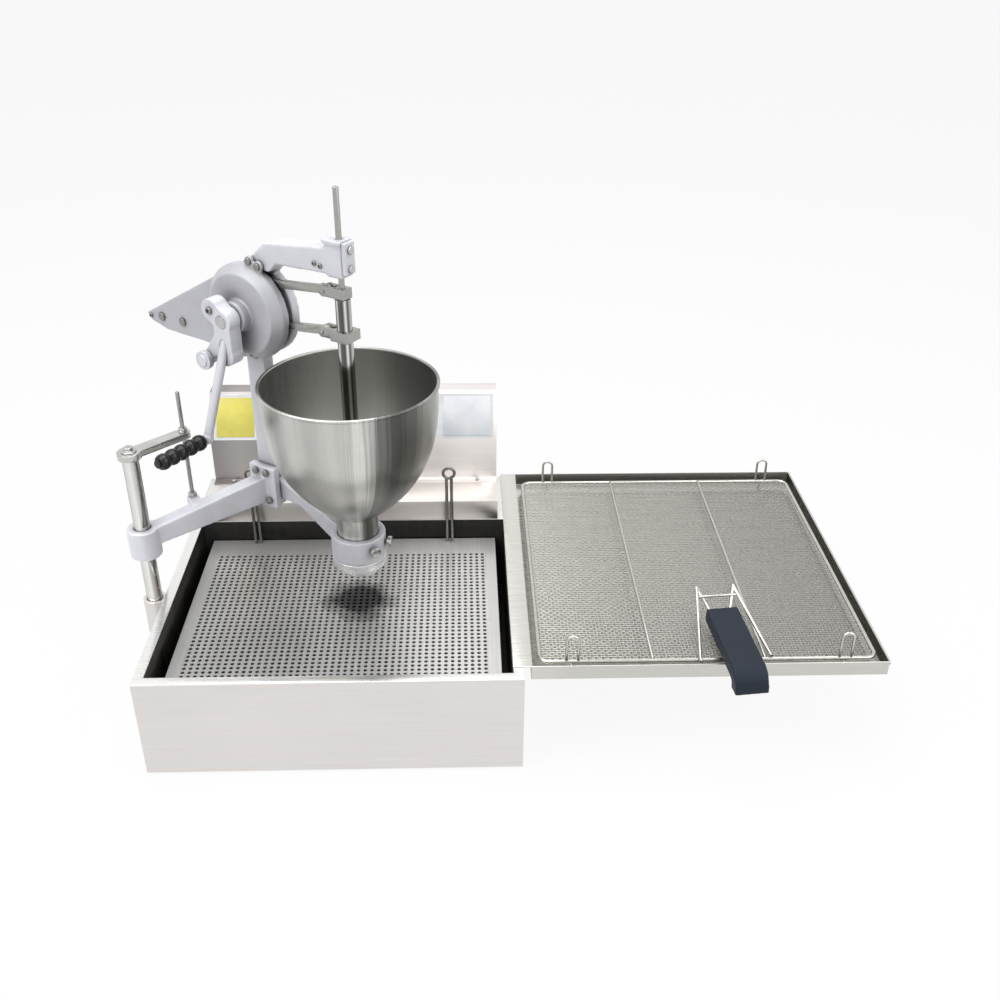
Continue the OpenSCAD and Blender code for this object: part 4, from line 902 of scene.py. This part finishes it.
def lathe(name: str, profile: Pairs, segments: int) -> Object:
    """Turns a profile round z by extruding one ring from radius to radius.

    Args:
        name: the object's name.
        profile: radius and height of each ring, closed or with ends on the axis.
        segments: sides of a ring.

    Returns:
        The object, standing at the origin.
    """
    radius, height = max(profile[0][0], POLE), profile[0][1]
    obj = circle(name, segments, radius, location=(0, 0, height))
    edit(obj)
    for next_radius, next_height in profile[1:]:
        wide = max(next_radius, POLE)
        extrude((0, 0, next_height - height))
        grow = wide / radius
        bpy.ops.transform.resize(value=(grow, grow, 1), center_override=(0, 0, next_height))
        radius, height = wide, next_height
    tidy_mesh(obj, POLE_MERGE)
    return obj


def depositor(x: float, y: float, z: float, axis: Point = (0.0, 0.0, 1.0)) -> Matrix:
    """Place in the depositor's own frame, which is turned about the hopper's axis.

    Args:
        x: to the right of the hopper's axis, in metres.
        y: behind it.
        z: height over the table.
        axis: direction of the piece's own z, in the depositor's frame.

    Returns:
        The place in the machine's frame.
    """
    turn = Matrix.Rotation(-DEPOSITOR_YAW, 4, "Z")
    centre = Matrix.Translation((*upright_axis("hopper"), 0))
    return centre @ turn @ Matrix.Translation((x, y, z)) @ aimed(axis)


def select_by(obj: Object, test: Callable[[Vector], bool]) -> None:
    """Selects an object's vertices by their place, in edit mode.

    Args:
        obj: the object, in edit mode.
        test: function of a vertex's place that says whether it is taken.
    """
    bpy.ops.mesh.select_all(action="DESELECT")
    bpy.ops.object.mode_set(mode="OBJECT")
    for vertex in obj.data.vertices:
        vertex.select = bool(test(vertex.co))
    for edge in obj.data.edges:
        edge.select = all(obj.data.vertices[i].select for i in edge.vertices)
    for face in obj.data.polygons:
        face.select = all(obj.data.vertices[i].select for i in face.vertices)
    bpy.ops.object.mode_set(mode="EDIT")


def row_of(obj: Object, count: int, step: Point) -> None:
    """Repeats an object in a row and merges the copies.

    Args:
        obj: the first of the row.
        count: number in the row.
        step: distance from one to the next.
    """
    modify(obj, "ARRAY", count=count, use_relative_offset=False, use_constant_offset=True,
           constant_offset_displace=step, use_merge_vertices=True, merge_threshold=ROW_MERGE)


@dataclass
class Fryer:
    """Casing, oil tank, heating and the perforated plate."""

    finishes: Finishes
    hole_d: float = 5.8 * MM
    hole_sides: int = 8
    columns: int = 46
    rows: int = 36
    margin: float = 17 * MM
    back_margin: float = 45 * MM

    def build(self) -> None:
        """Dresses the fryer's nodes and models its plate."""
        f = self.finishes
        for row in (
            ("casing_shell", f.sheet_x, 2.2, 3),
            ("base_plate", f.sheet_x),
            ("top_rim", f.rim, 0.9),
            ("oil_tank", f.tank, 0.6),
            ("feet", f.rubber, 1.2),
            ("heater_elements", f.element, 0.4),
            ("heater_glands", f.brass, 0.6),
            ("thermostat_bulb", f.brass, 0.8),
            ("plate_legs", f.plate, 0.4),
            ("plate_loops", f.loop, 0.4),
        ):
            sheet_skin(*row)
        self.perforated_plate()

    def perforated_plate(self) -> None:
        """Models the plate from one holed cell that is repeated both ways."""
        low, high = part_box("perforated_plate")
        step_x = (high.x - low.x - 2 * self.margin) / self.columns
        step_y = (high.y - low.y - self.margin - self.back_margin) / self.rows
        start = (low.x + self.margin + step_x / 2, low.y + self.margin + step_y / 2, high.z)
        plate = circle("perforated_plate_skin", self.hole_sides, self.hole_d / 2)
        edit(plate)
        extrude((0, 0, 0))
        cell = (step_x / self.hole_d, step_y / self.hole_d, 1)
        bpy.ops.transform.resize(value=cell, center_override=(0, 0, 0))
        reach = 0.3 * step_x
        select_by(plate, lambda co: abs(co.x) > reach and abs(co.y) > reach)
        root = math.sqrt(2)
        bpy.ops.transform.resize(value=(root, root, 1), center_override=(0, 0, 0))
        close()
        settle(plate, Matrix.Translation(start))
        row_of(plate, self.columns, (step_x, 0, 0))
        row_of(plate, self.rows, (0, step_y, 0))
        sides = (
            (0, low.x + self.margin, low.x),
            (0, high.x - self.margin, high.x),
            (1, low.y + self.margin, low.y),
            (1, high.y - self.back_margin, high.y),
        )
        for axis, edge_at, end in sides:
            edit(plate, "DESELECT")
            select_by(plate, lambda co: abs(co[axis] - edge_at) < NEAR)
            move = [0.0, 0.0, 0.0]
            move[axis] = end - edge_at
            extrude(move)
            close()
        tidy_mesh(plate)
        modify(plate, "SOLIDIFY", thickness=high.z - low.z, offset=-1.0)
        if min(v.co.z for v in plate.data.vertices) > low.z + NEAR:
            settle(plate, Matrix.Translation((0, 0, low.z - high.z)))
        finish_piece(plate, "perforated_plate", self.finishes.plate)


@dataclass
class ControlBox:
    """Rear deck, control box, its skins, lamps and knob."""

    finishes: Finishes

    def build(self) -> None:
        """Dresses the control box's nodes."""
        f = self.finishes
        for row in (
            ("rear_deck", f.ledge, 1.0),
            ("control_box", f.sheet_z, 1.0),
            ("box_back_cover", f.sheet_x, 0.5),
            ("panel_overlay", f.panel, 0.3),
            ("yellow_plate", f.yellow, 0.3),
            ("pale_plate", f.pale, 0.3),
            ("thermostat_knob", f.black, 1.2, 3),
            ("power_lamp", f.red, 0.8, 3),
            ("heat_lamp", f.green, 0.8, 3),
            ("box_screws", f.screw, 0.6),
            ("cable_gland", f.black, 0.8),
        ):
            sheet_skin(*row)


@dataclass
class PostAndArm:
    """Post in its socket, the top bar with the lift rod, and the swing arm."""

    finishes: Finishes

    def build(self) -> None:
        """Dresses the post's and the arm's nodes."""
        f = self.finishes
        for row in (
            ("post_socket", f.sheet_y, 1.2),
            ("post", f.post, 0.8),
            ("top_bar", f.rod, 1.4, 3),
            ("top_bar_screw", f.screw, 0.8),
            ("lift_rod", f.lever, 0.6),
            ("lift_nut", f.screw, 0.6),
            ("rod_locknut", f.screw, 0.6),
        ):
            sheet_skin(*row)
        cast_skin("swing_arm", f.arm)
        sheet_skin("arm_bolts", f.dark_steel, 0.8)


@dataclass(frozen=True)
class SmallScrew:
    """Screw head with a socket, on a face that looks to the depositor's front."""

    place: Point
    radius: float = 3.2
    node: str = "cover_screws"
    sides: int = 24
    sink: float = 1.5 * MM

    def rings(self) -> list[Span]:
        """Profile of the head, from its lower pole to the bottom of its socket.

        Returns:
            Radius and height of each ring.
        """
        r = self.radius * MM
        edge, top, turns = 0.2 * r, 0.75 * r, [math.radians(a) for a in (0, 30, 60, 90)]
        lower = [(r - edge + edge * math.sin(a), edge - self.sink - edge * math.cos(a)) for a in turns]
        upper = [(r - edge + edge * math.cos(a), top - edge + edge * math.sin(a)) for a in turns]
        socket = [(0.5 * r, top), (0.46 * r, 0.25 * r), (0.0, 0.2 * r)]
        return [(0.0, -self.sink), *lower, *upper, *socket]

    def build(self, name: str, material: Material) -> None:
        """Models the head as one turned piece with a sunk socket.

        Args:
            name: the piece's name.
            material: its finish.
        """
        head = lathe(name, self.rings(), self.sides)
        settle(head, depositor(*(c * MM for c in self.place), (0.0, -1.0, 0.0)))
        smooth(head)
        finish_piece(head, self.node, material, replaces=False)


@dataclass
class Depositor:
    """Cam housing, levers, crank and plunger."""

    finishes: Finishes
    bead_d: float = 23 * MM
    bead_count: int = 5
    bead_steps: int = 12
    bead_neck: float = 0.66
    bead_swell: float = 0.55
    grip_sides: int = 48
    grip_smooth: float = 50.0
    pin_share: float = 0.6
    drum: Span = (-162.0, 554.0)
    drum_r: float = 72.0
    slot_half: float = 6.4
    slot_tilt: float = 0.4
    small_screws: tuple[SmallScrew, ...] = (
        SmallScrew((-361.0, -14.0, 508.0)),
        SmallScrew((-34.0, -12.0, 645.0)),
        SmallScrew((-24.0, -12.0, 643.0)),
        SmallScrew((-180.0, -66.4, 568.0), 5.0, "crank_clamp"),
    )

    def build(self) -> None:
        """Dresses the castings and models the grip's beads."""
        f = self.finishes
        # both halves of the housing get painted shade in their slot
        self.paint_slot_shade(cast_skin("main_casting", f.cast, 2.0, 5))
        self.paint_slot_shade(cast_skin("front_cover", f.cover, 1.5, 5))
        cast_skin("ring_bracket", f.cast, 1.4, 5)
        cast_skin("crank_clamp", f.cast, 1.0, 6)
        cast_skin("guide_cap", f.cast, 0.9, 4)
        self.pin_end(cast_skin("crank_rod", f.cast, 0.9, 4))
        cast_skin("dose_knob", f.cast, 0.7, 3)
        for node in ("upper_lever", "lower_lever", "upper_clevis", "lower_clevis", "inner_rod"):
            sheet_skin(node, f.lever, 0.9)
        for node in ("cover_screws", "lever_pins"):
            sheet_skin(node, f.dark_steel, 0.7)
        for node in ("guide_bolts", "ring_screws", "cam_shaft"):
            sheet_skin(node, f.screw, 0.6)
        sheet_skin("outer_tube", f.tube, 0.6)
        for node in ("forming_disc", "piston", "nozzle"):
            sheet_skin(node, f.nozzle, 0.8)
        self.grip()
        for index, screw in enumerate(self.small_screws):
            screw.build(f"small_screw_{index}", f.dark_steel)

    def paint_slot_shade(self, casting: Object) -> None:
        """Gives the faces that look into the levers' slot a dark painted shade.

        Args:
            casting: the skin of one half of the housing.
        """
        inward = depositor(0, 0, 0).inverted()

        def in_slot(face: Face) -> bool:
            """Says whether a face looks across the slot inside the drum.

            Args:
                face: the face.

            Returns:
                Whether it takes the painted shade.
            """
            place = inward @ face.center
            reach = math.hypot(place.x - self.drum[0] * MM, place.z - self.drum[1] * MM)
            across = abs((inward.to_3x3() @ face.normal).y) > self.slot_tilt
            return across and abs(place.y) < self.slot_half * MM and reach < self.drum_r * MM

        repaint(casting, self.finishes.slot, in_slot)

    @staticmethod
    def grip_axis() -> tuple[Vector, Vector]:
        """A point on the grip's own axis, and the axis's direction."""
        joint = next(j for j in frame["joints"] if j["name"] == "grip_spin")
        return Vector(joint["pos_m"]), Vector(joint["axis"]).normalized()

    def pin_end(self, rod: Object) -> None:
        """Blackens the pin of the crank's rod where it shows at the end of the grip.

        Args:
            rod: the skin of the rod.
        """
        low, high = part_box("crank_grip")
        axis = self.grip_axis()[1]
        middle = (low + high) / 2
        body = sum((face.center for face in rod.data.polygons), Vector()) / len(rod.data.polygons)
        if (body - middle).dot(axis) > 0:
            axis.negate()
        start = -self.pin_share * abs((high - low).dot(axis)) / 2
        repaint(rod, self.finishes.beads, lambda face: (face.center - middle).dot(axis) > start)

    def grip(self) -> None:
        """Models the crank's beaded grip as one turned piece."""
        foot, axis = self.grip_axis()
        along = [Vector(v.co).dot(axis) for v in frame["nodes"]["crank_grip"].data.vertices]
        start, end = min(along), max(along)
        length = (end - start) / self.bead_count
        rings = [(0.0, 0.0)]
        for bead in range(self.bead_count):
            for step in range(self.bead_steps + 1):
                share = step / self.bead_steps
                swell = math.sin(math.pi * share) ** self.bead_swell
                wide = self.bead_neck + (1 - self.bead_neck) * swell
                rings.append((self.bead_d / 2 * wide, (bead + share) * length))
        rings.append((0.0, end - start))
        grip = lathe("crank_grip_skin", rings, self.grip_sides)
        foot += axis * (start - foot.dot(axis))
        settle(grip, Matrix.Translation(foot) @ aimed(axis))
        smooth(grip, self.grip_smooth)
        finish_piece(grip, "crank_grip", self.finishes.beads)


@dataclass
class HopperSet:
    """Spun hopper with its rolled rim, over the cast ring."""

    finishes: Finishes
    rim_r: float = 123 * MM
    neck_r: float = 30 * MM
    neck_top: float = 275 * MM
    wall: float = 1.5 * MM
    bead_d: float = 5 * MM
    fullness: float = 3.0
    steps: int = 40
    sides: int = 128
    shoulder: float = 5 * MM
    shoulder_low: float = 0.4 * MM
    shoulder_high: float = 2.6 * MM
    shoulder_end: float = 4 * MM
    roll: range = range(-60, 181, 24)

    def build(self) -> None:
        """Models the hopper as one turned sheet."""
        low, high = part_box("hopper")
        top = high.z - self.bead_d / 2
        shares = [i / self.steps for i in range(self.steps + 1)]
        heights = [self.neck_top + (top - self.neck_top) * s for s in shares]
        outside = [(self.radius(s, 0.0), z) for s, z in zip(shares, heights)]
        inside = [(self.radius(s, self.wall), z) for s, z in zip(shares, heights)][::-1]
        roll = [(self.rim_r + self.bead_d / 2 * math.cos(a), top + self.bead_d / 2 * math.sin(a))
                for a in map(math.radians, self.roll)]
        ring_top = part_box("ring_bracket")[1].z
        flange = self.neck_r + self.shoulder
        collar = [(self.neck_r, low.z), (self.neck_r, ring_top), (flange, ring_top + self.shoulder_low),
                  (flange, ring_top + self.shoulder_high), (self.neck_r, ring_top + self.shoulder_end)]
        foot = [(self.neck_r - self.wall, low.z), (self.neck_r, low.z)]
        hopper = lathe("hopper_skin", collar + outside + roll + inside + foot, self.sides)
        axis = Vector((*upright_axis("hopper"), 0))
        settle(hopper, Matrix.Translation(axis))
        smooth(hopper)
        finish_piece(hopper, "hopper", self.finishes.bowl)

        def looks_in(face: Face) -> bool:
            """Says whether a face below the rim looks to the axis."""
            out = (face.center - axis).to_2d()
            return face.normal.to_2d().dot(out) < 0 and face.center.z < top

        # painted shade: faces inside the bowl take the darker bands
        repaint(hopper, self.finishes.bowl_inside_shade, looks_in)

    def radius(self, share: float, inset: float) -> float:
        """Radius of the bowl at a share of its height."""
        return self.neck_r + (self.rim_r - self.neck_r) * (1 - (1 - share) ** self.fullness) - inset


@dataclass
class DrainingSet:
    """Draining tray, its rack with woven mesh, and the handle."""

    finishes: Finishes
    pitch: float = 5 * MM
    strand: float = 1.3 * MM
    strand_sides: int = 5
    wall_reach: float = 5 * MM
    wall_tilt: float = 0.7

    def build(self) -> None:
        """Dresses the tray, the rack and the handle."""
        f = self.finishes
        self.shade_far_walls(sheet_skin("drain_tray", f.tray, 1.0))
        for row in (
            ("tray_brackets", f.sheet_y, 0.6),
            ("rack_frame", f.wire, 0.3),
            ("handle_wires", f.wire, 0.3),
        ):
            sheet_skin(*row)
        cast_skin("handle_grip", f.navy, 1.3, 16)
        self.woven_mesh()

    def shade_far_walls(self, tray: Object) -> None:
        """Gives the inner faces of the back and right walls a painted shade, a dark copy of the tray's finish.

        Args:
            tray: the tray's skin.
        """
        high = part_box("drain_tray")[1]

        def far_wall(face: Face) -> bool:
            """Says whether a face is on the inside of the back or the right wall."""
            return any(face.normal[i] < -self.wall_tilt and face.center[i] > high[i] - self.wall_reach
                       for i in (0, 1))

        repaint(tray, self.finishes.tray_wall_shade, far_wall)

    def woven_mesh(self) -> None:
        """Weaves the mesh from two layers of waved strands."""
        low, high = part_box("rack_mesh")
        middle = (low.z + high.z) / 2
        across = self.strands("mesh_across", (low.x, high.x), (low.y, high.y), middle)
        along = self.strands("mesh_along", (low.y, high.y), (low.x, high.x), 0.0)
        turn = Matrix(((0, 1, 0), (1, 0, 0), (0, 0, -1))).to_4x4()
        settle(along, Matrix.Translation((0, 0, middle)) @ turn)
        join((across, along), "rack_mesh_skin")
        edit(across)
        bpy.ops.mesh.normals_make_consistent(inside=False)
        close()
        smooth(across, SOFT_SMOOTH)
        finish_piece(across, "rack_mesh", self.finishes.mesh)

    def strands(self, name: str, ends: Span, sides: Span, z: float) -> Object:
        """One layer of strands along x, each waved over and under the other layer.

        Args:
            name: the layer's name.
            ends: start and end of the strands in x.
            sides: side of the first and of the last strand in y.
            z: middle height.

        Returns:
            The layer.
        """
        (x0, x1), (y0, y1) = ends, sides
        waves = max(1, round((x1 - x0) / (2 * self.pitch)))
        pairs = max(1, round((y1 - y0) / (2 * self.pitch)))
        step_x = (x1 - x0) / (2 * waves)
        step_y = (y1 - y0) / (2 * pairs)
        rise = 0.5 * self.strand
        layers = []
        for side in (1, -1):
            strand = circle(name, self.strand_sides, self.strand / 2, rotation=(0, math.pi / 2, 0))
            edit(strand)
            for beat in (-1, 1):
                extrude((step_x, 0, 2 * rise * side * beat))
            close()
            place = (x0, y0 + step_y * (0.5 if side > 0 else 1.5), z + rise * side)
            settle(strand, Matrix.Translation(place))
            row_of(strand, waves, (2 * step_x, 0, 0))
            edit(strand)
            bpy.ops.mesh.fill_holes(sides=8)
            close()
            row_of(strand, pairs, (0, 2 * step_y, 0))
            layers.append(strand)
        return join(layers, name)


@dataclass
class Studio:
    """Camera at the photograph's angle, pale floor and soft light."""

    place: Point = (0.1831, -1.4256, 1.0972)
    yaw: float = math.radians(1.96)
    pitch: float = math.radians(30.11)
    roll: float = math.radians(-0.45)
    lens: float = 39.74
    shift: Span = (0.002, 0.0014)
    sensor: float = 36.0
    far_end: float = 200.0
    floor_size: float = 60.0
    floor_colour: tuple[float, ...] = (0.86, 0.86, 0.86, 1.0)
    floor_glow: float = 0.9
    room_colour: tuple[float, ...] = (0.95, 0.97, 1.0, 1.0)
    room_light: float = 0.45

    def camera(self) -> None:
        """Makes the camera."""
        data = bpy.data.cameras.new("photo_camera")
        data.lens = self.lens
        data.sensor_width = self.sensor
        data.sensor_fit = "HORIZONTAL"
        data.shift_x, data.shift_y = self.shift
        data.clip_end = self.far_end
        camera = add_object("photo_camera", data)
        ahead = Vector((math.sin(self.yaw) * math.cos(self.pitch), math.cos(self.yaw) * math.cos(self.pitch),
                        -math.sin(self.pitch)))
        level = Vector((math.cos(self.yaw), -math.sin(self.yaw), 0.0))
        down = ahead.cross(level)
        right = math.cos(self.roll) * level + math.sin(self.roll) * down
        under = -math.sin(self.roll) * level + math.cos(self.roll) * down
        axes = Matrix((right, -under, -ahead)).transposed().to_4x4()
        camera.matrix_world = Matrix.Translation(self.place) @ axes
        bpy.context.scene.camera = camera

    def floor(self) -> None:
        """Makes the pale floor, which the camera sees as white with a faint shadow."""
        deselect()
        bpy.ops.mesh.primitive_grid_add(x_subdivisions=8, y_subdivisions=8, size=self.floor_size)
        floor = bpy.context.object
        floor.name = "pale_floor"
        material = bpy.data.materials.new("floor_white")
        nodes = NodeBuilder(material)
        paint = nodes.node("BsdfDiffuse", Color=self.floor_colour).outputs["BSDF"]
        glow = nodes.node("Emission").outputs["Emission"]
        mixed = nodes.blend(self.seen_share(nodes, self.floor_glow), paint, glow)
        nodes.node("OutputMaterial", Surface=mixed)
        floor.data.materials.append(material)

    @staticmethod
    def seen_share(nodes: NodeBuilder, share: float) -> Socket:
        """A share for rays that show the background: camera, glossy and transmission rays.

        Args:
            nodes: builder of a material or the world.
            share: value for those rays.

        Returns:
            The socket.
        """
        path = nodes.node("LightPath").outputs
        seen = path["Is Camera Ray"]
        for name in ("Is Glossy Ray", "Is Transmission Ray"):
            seen = nodes.math("MAXIMUM", seen, path[name])
        return nodes.math("MULTIPLY", seen, share)

    def world(self) -> None:
        """Makes the world: white where it is seen, softer as a light."""
        world = bpy.data.worlds.new("white_room")
        bpy.context.scene.world = world
        nodes = NodeBuilder(world)
        seen = nodes.node("Background", Color=(*EVEN, 1.0)).outputs["Background"]
        light = nodes.node("Background", Color=self.room_colour, Strength=self.room_light)
        mixed = nodes.blend(self.seen_share(nodes, 1.0), light.outputs["Background"], seen)
        nodes.node("OutputWorld", Surface=mixed)

    @staticmethod
    def lamp(name: str, place: Point, target: Point, size: float, power: float) -> None:
        """Adds one soft lamp.

        Args:
            name: the lamp's name.
            place: where it stands.
            target: where it points.
            size: side of its square.
            power: its power in watts.
        """
        data = bpy.data.lights.new(name, "AREA")
        data.size = size
        data.energy = power
        lamp = add_object(name, data)
        lamp.location = place
        lamp.rotation_euler = (Vector(target) - Vector(place)).to_track_quat("-Z", "Y").to_euler()

    def build(self) -> None:
        """Makes the camera, the floor and the light."""
        self.camera()
        self.floor()
        self.world()
        self.lamp("key_left", (-1.6, -1.2, 2.4), (0.1, 0.0, 0.25), 1.6, 30.0)
        self.lamp("fill_right", (2.2, -1.0, 1.8), (0.2, 0.0, 0.2), 1.8, 20.0)
        self.lamp("top_soft", (0.0, 0.2, 2.6), (0.1, 0.0, 0.2), 2.0, 36.0)
        bpy.context.scene.view_settings.view_transform = "Standard"


def main() -> None:
    """Builds the studio and each sub-assembly in order."""
    logging.basicConfig(level=logging.INFO, format="%(name)s: %(message)s")
    Studio().build()
    finishes = Finishes.make()
    Fryer(finishes).build()
    ControlBox(finishes).build()
    PostAndArm(finishes).build()
    Depositor(finishes).build()
    HopperSet(finishes).build()
    DrainingSet(finishes).build()


if __name__ == "__main__":
    main()
